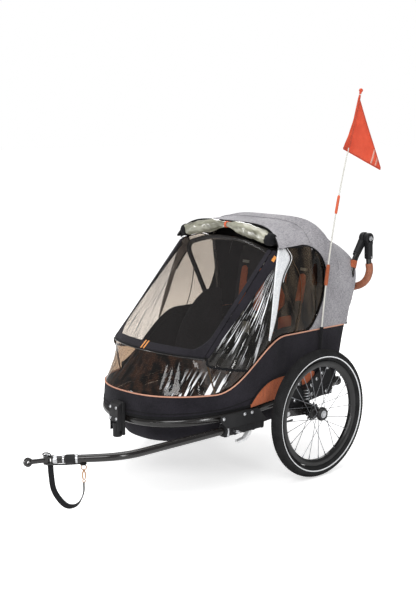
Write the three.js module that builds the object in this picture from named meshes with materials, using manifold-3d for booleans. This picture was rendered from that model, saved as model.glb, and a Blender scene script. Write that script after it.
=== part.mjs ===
// Child bicycle trailer: a two-seat tub on sprung wheels, a fan-folding hood, a push handle,
// a drawbar with an axle hitch, and a safety flag.
//
// Frame: millimetres, +Z up, +X towards the trailer's left, the nose and drawbar towards -Y.
// Heights are from the ground. Lengths along Y are from the wheel axle, and the whole trailer
// is moved by AXLE_Y so that the origin lies under the middle of its bounding box.

import * as THREE from 'three';
import { mergeVertices } from 'three/addons/utils/BufferGeometryUtils.js';
import { LoftGeometry } from 'three/addons/geometries/LoftGeometry.js';
import Module from 'manifold-3d';

const wasm = await Module();
wasm.setup();

// ---------------------------------------------------------------- driving dimensions

const AXLE_Y = 349.5;
const LEFT = 1;
const RIGHT = -1;
const SIDES = [ { word: 'left', side: LEFT }, { word: 'right', side: RIGHT } ];

const WHEEL_X = 415;
const TYRE_RADIUS = 250;
const TYRE_HALF_WIDTH = 23.5;
const TYRE_INNER_RADIUS = 207;
const RIM_INNER_RADIUS = 182;
const HUB_RADIUS = 23;
const SPOKES_PER_SIDE = 12;
const AXLE_RADIUS = 6.5;
const BRAKE_TEETH = 12;
const BRAKE_PIN_RADIUS = 33;

const RAIL_X = 318;
const RAIL_RADIUS = 17;
const RAIL_SLOPE = 0.07;
const RAIL_BEND_Y = - 150;
const RAIL_BEND_Z = 300;
const NOSE_LENGTH = 470;
const NOSE_POWER = 2.4;
const REAR_Y = 215;
const CROSS_TUBES_Y = [ - 175, 60 ];

const SKIRT_THICKNESS = 4;
const PIPING_FRONT_Z = 368;
const PIPING_REAR_Z = 552;
const PIPING_RISE_Y = [ - 420, - 90 ];
const HOOD_HALF_WIDTH = 320;
const HOOD_POWER = 4.5;
const HEM = { x: 264, y: - 455, z: 510, bow: 72, rise: 8 };

const HOOP_PIVOT = { y: 158, z: 360 };
const REAR_HOOP = { x: 302, radius: 12 };
const ROOF_BOW = { x: 275, radius: 9, y: 80, z: 932, crown: 14 };
const FRONT_HOOP = { x: 250, radius: 10, y: - 92, z: 858, crown: 42 };
const ROLL = { x: 273, radius: 25, y: - 95, z: 910, crown: 36 };
const HANDLE = { x: 316, radius: 11, y: 396, z: 887 };
const GRIP_TOP_Z = 785;

const SEAT_HINGE = { y: 120, z: 410 };
const SEAT_LEAN = THREE.MathUtils.degToRad( 10 );
const SEAT_HALF_WIDTH = 228;

const ARM_PIVOT = { y: - 130, z: 262 };
const ARM_X = [ 347, 373 ];
const PLATE_X = [ 336, 342 ];
const SPRING = { x: 359, y: - 8, z: [ 286, 337 ], radius: 11, wire: 2.4, turns: 4 };

const DRAWBAR = { x: 305, z: 235, radius: 14 };
const RECEIVER = { x: [ 287, 336.5 ], y: [ - 407, - 203 ], z: [ 214, 257 ] };
const DRAWBAR_TRAVEL = 140;
const LOCK_PIN_Y = - 370;

const FLAG = { x: 338, base: [ 87, 477 ], corner: [ 141, 947 ], top: [ 301, 1475 ], bend: 300, radius: 3.2 };
const FLAG_JOINT = 0.555;
const FLAG_HOIST = [ 0.775, 0.985 ];

// ---------------------------------------------------------------- materials

const finish = ( color, roughness, metalness = 0 ) =>
	new THREE.MeshStandardMaterial( { color, roughness, metalness } );

const FRAME_PAINT = finish( 0x17181a, 0.35, 0.4 );
const MOULDED = finish( 0x1b1c1e, 0.6 );
const DARK_FABRIC = finish( 0x1c1f27, 0.95 );
const HOOD_FABRIC = finish( 0x8d9096, 0.95 );
const COPPER_FABRIC = finish( 0xb4623a, 0.9 );
const SEAT_FABRIC = finish( 0x26282d, 0.95 );
const MESH_FABRIC = finish( 0x4a463f, 0.9 );
const VINYL = finish( 0x3b332c, 0.15 );
const ROLL_VINYL = finish( 0x8c8f80, 0.35 );
const TYRE_RUBBER = finish( 0x1d1d1d, 0.9 );
const RIM_BLACK = finish( 0x222325, 0.4, 0.5 );
const STEEL = finish( 0xb9bcc0, 0.3, 0.9 );
const BRASS = finish( 0xb0883e, 0.35, 0.9 );
const GRIP_LEATHER = finish( 0x8a4a2e, 0.75 );
const WEBBING = finish( 0x202124, 0.9 );
const FLAG_CLOTH = finish( 0xf0502a, 0.8 );
const FLAG_WHITE = finish( 0xe9e9e6, 0.5 );

// ---------------------------------------------------------------- shape helpers

const V = ( x, y, z ) => new THREE.Vector3( x, y, z );
const UP = V( 0, 0, 1 );
const ALONG_X = V( 1, 0, 0 );

// Welds shared corners and turns the faces outward.
function weld( geometry ) {

	const bare = new THREE.BufferGeometry().copy( geometry );
	const extra = Object.keys( bare.attributes ).filter( ( name ) => name !== 'position' );
	extra.forEach( ( name ) => bare.deleteAttribute( name ) );
	const welded = mergeVertices( bare, 1e-3 );
	const corner = [ V(), V(), V() ];
	const index = welded.index.array;
	let volume = 0;
	for ( let i = 0; i < index.length; i += 3 ) {

		corner.forEach( ( v, k ) => v.fromBufferAttribute( welded.attributes.position, index[ i + k ] ) );
		volume += corner[ 0 ].dot( corner[ 1 ].cross( corner[ 2 ] ) );

	}

	if ( volume < 0 ) index.reverse();
	return welded;

}

function toSolid( geometry ) {

	const welded = weld( geometry );
	return new wasm.Manifold( new wasm.Mesh( {
		numProp: 3,
		vertProperties: new Float32Array( welded.attributes.position.array ),
		triVerts: new Uint32Array( welded.index.array ),
	} ) );

}

function fromSolid( solid ) {

	const mesh = solid.getMesh();
	const geometry = new THREE.BufferGeometry();
	geometry.setAttribute( 'position', new THREE.BufferAttribute( mesh.vertProperties, 3 ) );
	geometry.setIndex( new THREE.BufferAttribute( mesh.triVerts, 1 ) );
	return geometry;

}

const join = ( ...pieces ) => fromSolid( pieces.map( toSolid ).reduce( ( a, b ) => a.add( b ) ) );
const cut = ( body, ...tools ) =>
	fromSolid( tools.map( toSolid ).reduce( ( a, b ) => a.subtract( b ), toSolid( body ) ) );

// A line through the corners, with each inner corner rounded from `reach` before it.
function rounded( corners, reach, steps = 4 ) {

	const path = [ corners[ 0 ] ];
	for ( let i = 1; i < corners.length - 1; i ++ ) {

		const back = corners[ i - 1 ].clone().sub( corners[ i ] );
		const ahead = corners[ i + 1 ].clone().sub( corners[ i ] );
		const start = Math.min( reach, back.length() * 0.45 );
		const end = Math.min( reach, ahead.length() * 0.45 );
		const bend = new THREE.QuadraticBezierCurve3(
			corners[ i ].clone().addScaledVector( back.normalize(), start ),
			corners[ i ],
			corners[ i ].clone().addScaledVector( ahead.normalize(), end ),
		);
		path.push( ...bend.getPoints( steps ) );

	}

	path.push( corners.at( - 1 ) );
	return path;

}

const circle = ( radius, sides = 10 ) => Array.from( { length: sides }, ( _, i ) => {

	const angle = ( i + 0.5 ) / sides * Math.PI * 2;
	return new THREE.Vector2( radius * Math.cos( angle ), radius * Math.sin( angle ) );

} );

const oblong = ( width, height ) => [ [ 1, - 1 ], [ 1, 1 ], [ - 1, 1 ], [ - 1, - 1 ] ]
	.map( ( [ x, y ] ) => new THREE.Vector2( x * width / 2, y * height / 2 ) );

// Sweeps a flat section along a path. The section's x axis starts along `first`.
function sweep( path, section, first = UP ) {

	const normal = first.clone();
	const rings = path.map( ( point, i ) => {

		const ahead = path[ Math.min( i + 1, path.length - 1 ) ];
		const behind = path[ Math.max( i - 1, 0 ) ];
		const along = ahead.clone().sub( behind ).normalize();
		if ( i === 0 && Math.abs( normal.dot( along ) ) > 0.9 ) normal.set( 0, 1, 0 );
		normal.addScaledVector( along, - normal.dot( along ) ).normalize();
		const across = along.clone().cross( normal );
		return section.map( ( p ) => point.clone().addScaledVector( normal, p.x ).addScaledVector( across, p.y ) );

	} );
	return new LoftGeometry( rings, { capStart: true, capEnd: true } );

}

const tube = ( path, radius, sides ) => sweep( path, circle( radius, sides ) );
const rod = ( from, to, radius, sides ) => tube( [ from, to ], radius, sides );
const rodX = ( x, y, z, radius, sides = 14 ) => rod( V( x[ 0 ], y, z ), V( x[ 1 ], y, z ), radius, sides );
const sorted = ( range ) => [ ...range ].sort( ( a, b ) => a - b );

function block( x, y, z ) {

	const box = new THREE.BoxGeometry( Math.abs( x[ 1 ] - x[ 0 ] ), y[ 1 ] - y[ 0 ], z[ 1 ] - z[ 0 ] );
	return box.translate( ( x[ 0 ] + x[ 1 ] ) / 2, ( y[ 0 ] + y[ 1 ] ) / 2, ( z[ 0 ] + z[ 1 ] ) / 2 );

}

// A plate standing across X, with its outline given as [y, z] points.
function plate( x, outline ) {

	const shape = new THREE.Shape( outline.map( ( p ) => new THREE.Vector2( ...p ) ) );
	const flat = new THREE.ExtrudeGeometry( shape, { depth: Math.abs( x[ 1 ] - x[ 0 ] ), bevelEnabled: false } );
	flat.applyMatrix4( new THREE.Matrix4().makeBasis( V( 0, 1, 0 ), UP, ALONG_X ) );
	return flat.translate( Math.min( ...x ), 0, 0 );

}

// A solid of revolution about an axis parallel to X. The profile is a list of [radius, x] points.
function turned( profile, centre, segments = 20 ) {

	const lathe = new THREE.LatheGeometry( profile.map( ( p ) => new THREE.Vector2( ...p ) ), segments );
	return lathe.rotateZ( - Math.PI / 2 ).translate( centre.x, centre.y, centre.z );

}

const closed = ( profile ) => [ ...profile, profile[ 0 ] ];

// A thin shell over rows of points. `thickness` is laid off along the row-by-column normal.
function shell( rows, thickness, wrapped = false ) {

	const columns = rows[ 0 ].length;
	const size = rows.length * columns;
	const column = ( j ) => wrapped ? ( j + columns ) % columns : THREE.MathUtils.clamp( j, 0, columns - 1 );
	const row = ( i ) => THREE.MathUtils.clamp( i, 0, rows.length - 1 );
	const faces = [];
	const inner = [];
	rows.forEach( ( points, i ) => points.forEach( ( point, j ) => {

		const along = points[ column( j + 1 ) ].clone().sub( points[ column( j - 1 ) ] );
		const up = rows[ row( i + 1 ) ][ j ].clone().sub( rows[ row( i - 1 ) ][ j ] );
		inner.push( point.clone().addScaledVector( along.cross( up ).normalize(), thickness ) );

	} ) );
	const quad = ( a, b, c, d ) => faces.push( a, b, c, a, c, d );
	const lastColumn = wrapped ? columns : columns - 1;
	for ( let i = 0; i < rows.length - 1; i ++ ) {

		for ( let j = 0; j < lastColumn; j ++ ) {

			const [ a, b ] = [ i * columns + j, i * columns + column( j + 1 ) ];
			quad( a, b, b + columns, a + columns );
			quad( size + a, size + a + columns, size + b + columns, size + b );

		}

	}

	for ( let j = 0; j < lastColumn; j ++ ) {

		const [ a, b ] = [ j, column( j + 1 ) ];
		const top = size - columns;
		quad( a, size + a, size + b, b );
		quad( top + a, top + b, size + top + b, size + top + a );

	}

	for ( let i = 0; i < rows.length - 1 && ! wrapped; i ++ ) {

		const [ a, b ] = [ i * columns, i * columns + columns - 1 ];
		quad( a, a + columns, size + a + columns, size + a );
		quad( b, size + b, size + b + columns, b + columns );

	}

	const geometry = new THREE.BufferGeometry().setFromPoints( [ ...rows.flat(), ...inner ] );
	geometry.setIndex( faces );
	return geometry;

}

const trailer = new THREE.Group();
trailer.position.y = AXLE_Y;

function addPart( name, geometry, material ) {

	const mesh = new THREE.Mesh( weld( geometry ), material );
	mesh.geometry.computeVertexNormals();
	mesh.name = name;
	trailer.add( mesh );

}

// ---------------------------------------------------------------- body outline

const railZ = ( y ) => RAIL_BEND_Z + RAIL_SLOPE * ( y - RAIL_BEND_Y );
const power = ( value, exponent ) => Math.sign( value ) * Math.abs( value ) ** exponent;

// The nose in plan: a superellipse from the left rail round to the right one, turn 0..1.
function nosePoint( turn, offset ) {

	const angle = turn * Math.PI;
	const x = ( RAIL_X + offset ) * power( Math.cos( angle ), 2 / NOSE_POWER );
	const y = RAIL_BEND_Y - ( NOSE_LENGTH + offset ) * Math.sin( angle ) ** ( 2 / NOSE_POWER );
	return V( x, y, 0 );

}

// The turn at which the nose outline passes a given y on the left side.
const noseTurn = ( y ) =>
	Math.asin( ( ( RAIL_BEND_Y - y ) / NOSE_LENGTH ) ** ( NOSE_POWER / 2 ) ) / Math.PI;

const noseLine = ( steps, offset ) =>
	Array.from( { length: steps + 1 }, ( _, i ) => nosePoint( i / steps, offset ) );

// The whole body in plan at an offset from the rails, with small rounded rear corners.
function bodyRing( offset, rearY, height, noseSteps = 16 ) {

	const x = RAIL_X + offset;
	const corner = rounded( [ V( 0, rearY, 0 ), V( x, rearY, 0 ), V( x, RAIL_BEND_Y + 1, 0 ) ], 26 );
	const sideStop = corner.at( - 2 ).y;
	const side = [ 0.25, 0.5, 0.75 ].map( ( t ) => V( x, sideStop + ( RAIL_BEND_Y - sideStop ) * t, 0 ) );
	const half = [ ...corner.slice( 0, - 1 ), ...side ];
	const mirrored = half.slice( 1 ).reverse().map( ( p ) => V( - p.x, p.y, 0 ) );
	const ring = [ ...half, ...noseLine( noseSteps, offset ), ...mirrored ];
	return ring.map( ( p ) => V( p.x, p.y, height( p.y ) ) );

}

// Height of the copper piping where the tub's fabric ends: low at the nose, high at the seats.
const pipingZ = ( y ) =>
	PIPING_FRONT_Z + ( PIPING_REAR_Z - PIPING_FRONT_Z ) * THREE.MathUtils.smoothstep( y, ...PIPING_RISE_Y );

// ---------------------------------------------------------------- chassis and tub

function buildChassis() {

	const rails = [ V( RAIL_X, REAR_Y, 0 ), ...noseLine( 20, 0 ), V( - RAIL_X, REAR_Y, 0 ) ];
	rails.forEach( ( p ) => p.setZ( railZ( p.y ) ) );
	const crossTube = ( y, radius ) => rodX( [ - RAIL_X, RAIL_X ], y, railZ( y ), radius, 10 );
	const { y, z } = HOOP_PIVOT;
	const pieces = [
		tube( rails, RAIL_RADIUS, 10 ),
		crossTube( REAR_Y, 14 ),
		...CROSS_TUBES_Y.map( ( place ) => crossTube( place, 12 ) ),
	];
	for ( const { side } of SIDES ) {

		const base = railZ( y ) + 2;
		const outerCheek = [ [ y - 18, base ], [ y + 18, base ], [ y + 14, z + 14 ], [ y - 14, z + 14 ] ];
		const innerCheek = [
			[ y - 18, base ], [ y + 18, base ], [ y + 14, z + 14 ],
			[ SEAT_HINGE.y + 8, SEAT_HINGE.z + 10 ], [ SEAT_HINGE.y - 10, SEAT_HINGE.z + 8 ],
			[ SEAT_HINGE.y - 10, SEAT_HINGE.z - 8 ],
		];
		const pedalEar = [ [ 205, 318 ], [ 228, 318 ], [ 245, 308 ], [ 240, 299 ], [ 225, 302 ] ];
		pieces.push(
			block( sorted( [ side * 234, side * RAIL_X ] ), [ y - 18, y + 18 ], [ base, base + 12 ] ),
			plate( [ side * 316, side * 319.5 ], outerCheek ),
			plate( [ side * 234, side * 237.5 ], innerCheek ),
			rodX( [ side * 235, side * 318 ], y, z, 5, 10 ),
			rodX( [ side * 200, side * 235 ], SEAT_HINGE.y, SEAT_HINGE.z, 5, 10 ),
			plate( [ side * 24, side * 28 ], pedalEar ),
		);

	}

	pieces.push( rodX( [ - 26, 26 ], 238, 306, 3, 8 ) );
	addPart( 'chassis_frame', join( ...pieces ), FRAME_PAINT );

}

function buildFloorTray() {

	const ring = ( offset, drop ) => bodyRing( offset, 190 + offset, ( y ) => railZ( y ) - drop, 14 );
	const pan = ( offset, top, bottom ) =>
		new LoftGeometry( [ ring( offset, top ), ring( offset - 20, bottom ) ], { capStart: true, capEnd: true } );
	const flange = new LoftGeometry( [ ring( - 14, 19 ), ring( - 14, 23 ) ], { capStart: true, capEnd: true } );
	const tray = cut( join( pan( - 50, 20, 100 ), flange ), pan( - 54, 15, 96 ) );
	addPart( 'floor_tray', tray, MOULDED );

}

function buildSkirt() {

	const bottom = bodyRing( 8, REAR_Y - 10, ( y ) => railZ( y ) + 18 );
	const top = bodyRing( 3, REAR_Y + 44, pipingZ );
	const middle = bottom.map( ( p, i ) => p.clone().lerp( top[ i ], 0.5 ) );
	addPart( 'lower_skirt', shell( [ bottom, middle, top ], - SKIRT_THICKNESS, true ), DARK_FABRIC );

}

// The hem where the front window meets the insect mesh: it bows forward in the middle.
const hemPoint = ( u ) => V( HEM.x * u, HEM.y - HEM.bow * ( 1 - u * u ), HEM.z + HEM.rise * ( 1 - u * u ) );

function buildFrontWindow() {

	const steps = 16;
	const startTurn = noseTurn( - 421 );
	const rows = [ 0, 0.5, 1 ].map( ( height ) => Array.from( { length: steps + 1 }, ( _, i ) => {

		const share = i / steps;
		const low = nosePoint( startTurn + ( 1 - 2 * startTurn ) * share, 3 );
		low.z = pipingZ( low.y ) + 3.5;
		return low.lerp( hemPoint( 1 - 2 * share ), height );

	} ) );
	addPart( 'front_window', shell( rows, 1.6 ), VINYL );

}

function buildSeatBase() {

	const outline = [
		[ - 182, 356 ], [ - 172, 384 ], [ - 140, 392 ], [ 70, 386 ], [ 92, 378 ], [ 96, 352 ], [ - 176, 348 ],
	];
	addPart( 'seat_base', plate( [ - SEAT_HALF_WIDTH, SEAT_HALF_WIDTH ], outline ), SEAT_FABRIC );

}

// ---------------------------------------------------------------- hood, hoops and handle

// Hood sections from the roll to the rear foot: [top y, top z, side foot y].
const HOOD_STATIONS = [
	[ - 64, 960, - 64 ], [ - 20, 967, - 20 ], [ 60, 969, 60 ], [ 145, 978, 130 ], [ 185, 960, 174 ],
	[ 222, 920, 206 ], [ 272, 893, 224 ], [ 322, 866, 231 ], [ 372, 824, 235 ], [ 362, 780, 239 ],
	[ 326, 708, 245 ], [ 295, 623, 253 ], [ 280, 575, 262 ],
];

function hoodPoint( [ topY, topZ, footY ], turn ) {

	const foot = PIPING_REAR_Z + 2;
	const x = HOOD_HALF_WIDTH * power( Math.cos( turn * Math.PI ), 2 / HOOD_POWER );
	const rise = Math.max( 0, Math.sin( turn * Math.PI ) ) ** ( 2 / HOOD_POWER );
	return V( x, footY + ( topY - footY ) * rise, foot + ( topZ - foot ) * rise );

}

// Outline of a side window in [y, z], shrunk by a margin for the pane that fills it.
function windowOutline( margin ) {

	const piping = [ - 360, - 300, - 240, - 180, - 120, - 60, 20 ];
	const foot = piping.map( ( y ) => [ y, pipingZ( y ) + 3 + margin ] );
	const arch = new THREE.CubicBezierCurve(
		new THREE.Vector2( 56 - margin, PIPING_REAR_Z + 14 ), new THREE.Vector2( 175 - margin, 690 ),
		new THREE.Vector2( 175 - margin, 880 - margin ), new THREE.Vector2( 30, 889 - margin ),
	);
	return [
		[ - 400 + margin, PIPING_FRONT_Z + 8 + margin ], ...foot, [ 42 - margin, PIPING_REAR_Z + 4 + margin ],
		...arch.getPoints( 8 ).map( ( p ) => [ p.x, p.y ] ),
		[ - 70, 884 - margin ], [ - 96, 872 - margin ], [ - 452 + margin, 508 - margin ],
	];

}

// Half width of the side wall at a place on it, from the hood's section or the leaning front part.
function sideWallX( y, z ) {

	const low = y < RAIL_BEND_Y ? nosePoint( noseTurn( Math.max( y, - 450 ) ), 6 ).x : RAIL_X + 6;
	const edgeZ = Math.min( 890, HEM.z + ( y - HEM.y ) * 1.03 );
	const share = THREE.MathUtils.clamp( ( z - pipingZ( y ) ) / Math.max( 20, edgeZ - pipingZ( y ) ), 0, 1 );
	const high = y < - 90 ? HEM.x + 8 : HEM.x + 8 + 26 * THREE.MathUtils.smoothstep( y, - 90, 60 );
	return THREE.MathUtils.lerp( low - 4, high, share ** 1.6 );

}

function buildSideWindow( word, side ) {

	const pane = plate( [ 0, 1.6 ], windowOutline( 2.5 ) );
	const position = pane.attributes.position;
	for ( let i = 0; i < position.count; i ++ ) {

		const wall = sideWallX( position.getY( i ), position.getZ( i ) );
		position.setX( i, side * ( wall - position.getX( i ) ) );

	}

	addPart( `side_window_${ word }`, pane, VINYL );

}

const rearHoopLeg = ( side ) => rounded( [
	V( side * REAR_HOOP.x, HOOP_PIVOT.y, HOOP_PIVOT.z ), V( side * REAR_HOOP.x, 236, 545 ),
	V( side * REAR_HOOP.x, 285, 690 ), V( side * ( REAR_HOOP.x - 2 ), 324, 792 ),
	V( side * ( REAR_HOOP.x - 11 ), 384, 868 ), V( side * ( REAR_HOOP.x - 11 ), 392, 880 ),
], 30, 2 );

function buildCanopy() {

	const columns = 18;
	const rows = HOOD_STATIONS.map( ( station ) =>
		Array.from( { length: columns + 1 }, ( _, j ) => hoodPoint( station, j / columns ) ) );
	const holes = SIDES.flatMap( ( { side } ) => [
		plate( [ side * 200, side * 360 ], windowOutline( 0 ) ),
		block( sorted( [ side * 200, side * 360 ] ), [ - 120, 30 ], [ 540, 640 ] ),
		tube( rearHoopLeg( side ), REAR_HOOP.radius + 4, 10 ),
	] );
	addPart( 'canopy', cut( shell( rows, - 4 ), ...holes ), HOOD_FABRIC );

}

// An eye round the common hoop pivot, bored for its pin.
const hoopEye = ( x, radius ) => rodX( [ x - radius, x + radius ], HOOP_PIVOT.y, HOOP_PIVOT.z, 15, 10 );
const pivotBore = () => rodX( [ - 330, 330 ], HOOP_PIVOT.y, HOOP_PIVOT.z, 5.6, 8 );

// A hoop of one bent tube with a crowned top, standing on its two eyes.
function bentHoop( { x, radius, y, z, crown }, reach ) {

	const half = [ V( x, HOOP_PIVOT.y, HOOP_PIVOT.z ), V( x, y, z ), V( x * 0.4, y, z + crown ) ];
	const path = rounded( [ ...half, ...half.map( ( p ) => V( - p.x, p.y, p.z ) ).reverse() ], reach, 4 );
	return cut( join( tube( path, radius, 8 ), hoopEye( x, radius ), hoopEye( - x, radius ) ), pivotBore() );

}

function buildHoops() {

	const legs = SIDES.flatMap( ( { side } ) => [
		tube( rearHoopLeg( side ), REAR_HOOP.radius, 8 ),
		hoopEye( side * REAR_HOOP.x, REAR_HOOP.radius ),
		rodX( [ side * 282, side * 304 ], HANDLE.y, HANDLE.z, 24, 14 ),
		cut( rod( V( side * 293, 350, 826 ), V( side * 291, 388, 874 ), 16, 10 ), handleSide( side ) ),
	] );
	const crossbar = rod( V( - REAR_HOOP.x, 285, 690 ), V( REAR_HOOP.x, 285, 690 ), 9 );
	addPart( 'rear_hoop', cut( join( ...legs, crossbar ), pivotBore() ), FRAME_PAINT );
	addPart( 'roof_bow', bentHoop( ROOF_BOW, 110 ), FRAME_PAINT );
	addPart( 'front_hoop', bentHoop( FRONT_HOOP, 60 ), FRAME_PAINT );

}

// The half space on the handle's side of the joint between its knuckle and the hoop's casting.
const handleSide = ( side ) => block( sorted( [ side * 304, side * 360 ] ), [ 300, 460 ], [ 760, 940 ] );
const hoopSide = ( side ) => block( sorted( [ side * 260, side * 305 ] ), [ 300, 460 ], [ 760, 940 ] );

// The handle's centre line: straight down from the knuckles, then one smooth bend into the crossbar.
function handleLine() {

	const half = [
		[ 316, 396, 887 ], [ 316, 400, 800 ], [ 315, 408, 752 ],
		[ 302, 401, 712 ], [ 268, 389, 688 ], [ 190, 386, 680 ],
	];
	const points = half.map( ( p ) => V( ...p ) );
	const mirrored = points.map( ( p ) => V( - p.x, p.y, p.z ) ).reverse();
	return new THREE.CatmullRomCurve3( [ ...points, ...mirrored ] ).getPoints( 44 );

}

function buildHandle() {

	const whole = handleLine();
	const bore = tube( whole, HANDLE.radius + 0.4, 8 );
	const discs = SIDES.map( ( { side } ) => rodX( [ side * 300, side * 334 ], HANDLE.y, HANDLE.z, 22.5, 14 ) );
	addPart( 'handle_bar', cut( tube( whole, HANDLE.radius, 8 ), ...discs ), FRAME_PAINT );
	const gripPath = whole.filter( ( p ) => p.z < GRIP_TOP_Z );
	addPart( 'handle_grip', cut( tube( gripPath, 15, 8 ), bore ), GRIP_LEATHER );
	for ( const { word, side } of SIDES ) {

		const disc = rodX( [ side * 305, side * 326 ], HANDLE.y, HANDLE.z, 22, 14 );
		const pocket = rodX( [ side * 311, side * 330 ], HANDLE.y, HANDLE.z, 11, 14 );
		const sleeve = rod( V( side * HANDLE.x, 397, 868 ), V( side * HANDLE.x, 400, 800 ), 15, 10 );
		const casting = cut( join( disc, sleeve ), pocket, hoopSide( side ), bore );
		const button = rodX( [ side * 317, side * 330 ], HANDLE.y, HANDLE.z, 10.4, 14 );
		addPart( `handle_knuckle_${ word }`, casting, MOULDED );
		addPart( `knuckle_button_${ word }`, button, STEEL );

	}

}

function buildFrontCurtain() {

	const crowned = ( u, z, crown ) => z + crown * ( 1 - u * u );
	const rollPath = Array.from( { length: 11 }, ( _, i ) => {

		const u = i / 5 - 1;
		return V( ROLL.x * u, ROLL.y, crowned( u, ROLL.z, ROLL.crown ) );

	} );
	addPart( 'rain_roll', tube( rollPath, ROLL.radius, 14 ), ROLL_VINYL );
	const rows = [ 0, 0.25, 0.5, 0.75, 1 ].map( ( height ) => Array.from( { length: 13 }, ( _, i ) => {

		const u = 1 - i / 6;
		const top = V( HEM.x * u, - 110, crowned( u, 874, 38 ) );
		return hemPoint( u ).add( V( 0, 2, 4 ) ).lerp( top, height );

	} ) );
	addPart( 'front_mesh', shell( rows, 1.6 ), MESH_FABRIC );

}

// ---------------------------------------------------------------- seats

// A point of the seat back: across, up along the leaning back, and out from its front face.
function seatPoint( x, up, out ) {

	const y = SEAT_HINGE.y + up * Math.sin( SEAT_LEAN ) - out * Math.cos( SEAT_LEAN );
	const z = SEAT_HINGE.z + up * Math.cos( SEAT_LEAN ) + out * Math.sin( SEAT_LEAN );
	return V( x, y, z );

}

function buildSeatBack() {

	const thickness = 26;
	const middle = thickness / 2;
	const panel = sweep(
		[ seatPoint( 0, 14, - middle ), seatPoint( 0, 225, - middle ), seatPoint( 0, 430, - middle ) ],
		oblong( 2 * SEAT_HALF_WIDTH, thickness ), ALONG_X,
	);
	const sleeve = rodX( [ - 216, 216 ], SEAT_HINGE.y, SEAT_HINGE.z, 10 );
	const neck = sweep( [ seatPoint( 0, 4, - 6 ), seatPoint( 0, 40, - 8 ) ], oblong( 380, 10 ), ALONG_X );
	const bore = ( side ) => rodX( [ side * 194, side * 230 ], SEAT_HINGE.y, SEAT_HINGE.z, 5.6, 10 );
	const bores = SIDES.map( ( { side } ) => bore( side ) );
	addPart( 'seat_back', cut( join( panel, sleeve, neck ), ...bores ), SEAT_FABRIC );

}

// One child's harness on the seat back: two padded shoulder straps and a buckle that joins them.
function buildHarness( word, side ) {

	const centre = side * 114;
	const straps = [ - 1, 1 ].map( ( hand ) => {

		const path = [ [ 52, 360 ], [ 50, 260 ], [ 42, 160 ], [ 14, 84 ] ]
			.map( ( [ x, up ] ) => seatPoint( centre + hand * x, up, 5.5 ) );
		return sweep( path, oblong( 34, 9 ), ALONG_X );

	} );
	const bucklePath = [ seatPoint( centre, 66, 6 ), seatPoint( centre, 108, 6 ) ];
	const buckle = sweep( bucklePath, oblong( 46, 10 ), ALONG_X );
	addPart( `harness_${ word }`, join( ...straps, buckle ), COPPER_FABRIC );

}

// ---------------------------------------------------------------- wheels and suspension

function buildWheel( word, side ) {

	const centre = V( side * WHEEL_X, 0, TYRE_RADIUS );
	const tyreMiddle = ( TYRE_RADIUS + TYRE_INNER_RADIUS ) / 2;
	const tyreHeight = ( TYRE_RADIUS - TYRE_INNER_RADIUS ) / 2;
	const tyreSection = circle( 1, 10 ).map( ( p ) => [
		tyreMiddle + tyreHeight * p.y,
		TYRE_HALF_WIDTH * p.x / Math.cos( Math.PI / 10 ),
	] );
	addPart( `tyre_${ word }`, turned( closed( tyreSection ), centre, 32 ), TYRE_RUBBER );

	const rimOuter = TYRE_INNER_RADIUS - 0.8;
	const rimSection = [
		[ rimOuter, - 12 ], [ rimOuter, 12 ], [ 191, 13 ], [ RIM_INNER_RADIUS, 6 ],
		[ RIM_INNER_RADIUS, - 6 ], [ 191, - 13 ],
	];
	addPart( `rim_${ word }`, turned( closed( rimSection ), centre, 32 ), RIM_BLACK );

	const out = ( x ) => side * x;
	const bore = AXLE_RADIUS + 0.6;
	const hubSection = [
		[ bore, out( - 30 ) ], [ 27, out( - 24 ) ], [ 19, out( - 17 ) ], [ 19, out( 12 ) ], [ 27, out( 18 ) ],
		[ HUB_RADIUS, out( 28 ) ], [ 16, out( 28 ) ], [ 16, out( 13 ) ], [ bore, out( 13 ) ],
	];
	const spokes = [];
	for ( let i = 0; i < 2 * SPOKES_PER_SIDE; i ++ ) {

		const outer = i % 2 === 0;
		const angle = i / ( 2 * SPOKES_PER_SIDE ) * Math.PI * 2;
		const lead = ( Math.floor( i / 2 ) % 2 === 0 ? 1 : - 1 ) * 0.9;
		const from = V( out( outer ? 15 : - 21 ), 20 * Math.cos( angle + lead ), 20 * Math.sin( angle + lead ) );
		const reach = RIM_INNER_RADIUS - 3;
		const to = V( out( outer ? 2.5 : - 2.5 ), reach * Math.cos( angle ), reach * Math.sin( angle ) );
		spokes.push( rod( from.add( centre ), to.add( centre ), 1.5, 3 ) );

	}

	addPart( `hub_${ word }`, join( turned( closed( hubSection ), centre, 16 ), ...spokes ), RIM_BLACK );

	const notches = Array.from( { length: BRAKE_TEETH }, ( _, i ) => {

		const angle = i / BRAKE_TEETH * Math.PI * 2;
		const y = BRAKE_PIN_RADIUS * Math.cos( angle );
		const z = TYRE_RADIUS + BRAKE_PIN_RADIUS * Math.sin( angle );
		return rodX( [ centre.x + out( - 38 ), centre.x + out( - 28 ) ], y, z, 5.4, 6 );

	} );
	const [ back, front ] = [ out( - 36 ), out( - 30.4 ) ];
	const brakeSection = [ [ 9, back ], [ 35.5, back ], [ 35.5, front ], [ 9, front ] ];
	addPart( `brake_ring_${ word }`, cut( turned( closed( brakeSection ), centre, 24 ), ...notches ), RIM_BLACK );

	const shaft = rodX( [ side * 345, centre.x + out( 18 ) ], 0, TYRE_RADIUS, AXLE_RADIUS );
	const head = rodX( [ centre.x + out( 13.6 ), centre.x + out( 27 ) ], 0, TYRE_RADIUS, 15.4, 18 );
	const pocket = rodX( [ centre.x + out( 18 ), centre.x + out( 30 ) ], 0, TYRE_RADIUS, 9.6, 14 );
	addPart( `axle_shaft_${ word }`, cut( join( shaft, head ), pocket ), STEEL );
	const button = rodX( [ centre.x + out( 22.5 ), centre.x + out( 30 ) ], 0, TYRE_RADIUS, 9, 14 );
	addPart( `axle_button_${ word }`, button, STEEL );

}

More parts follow.
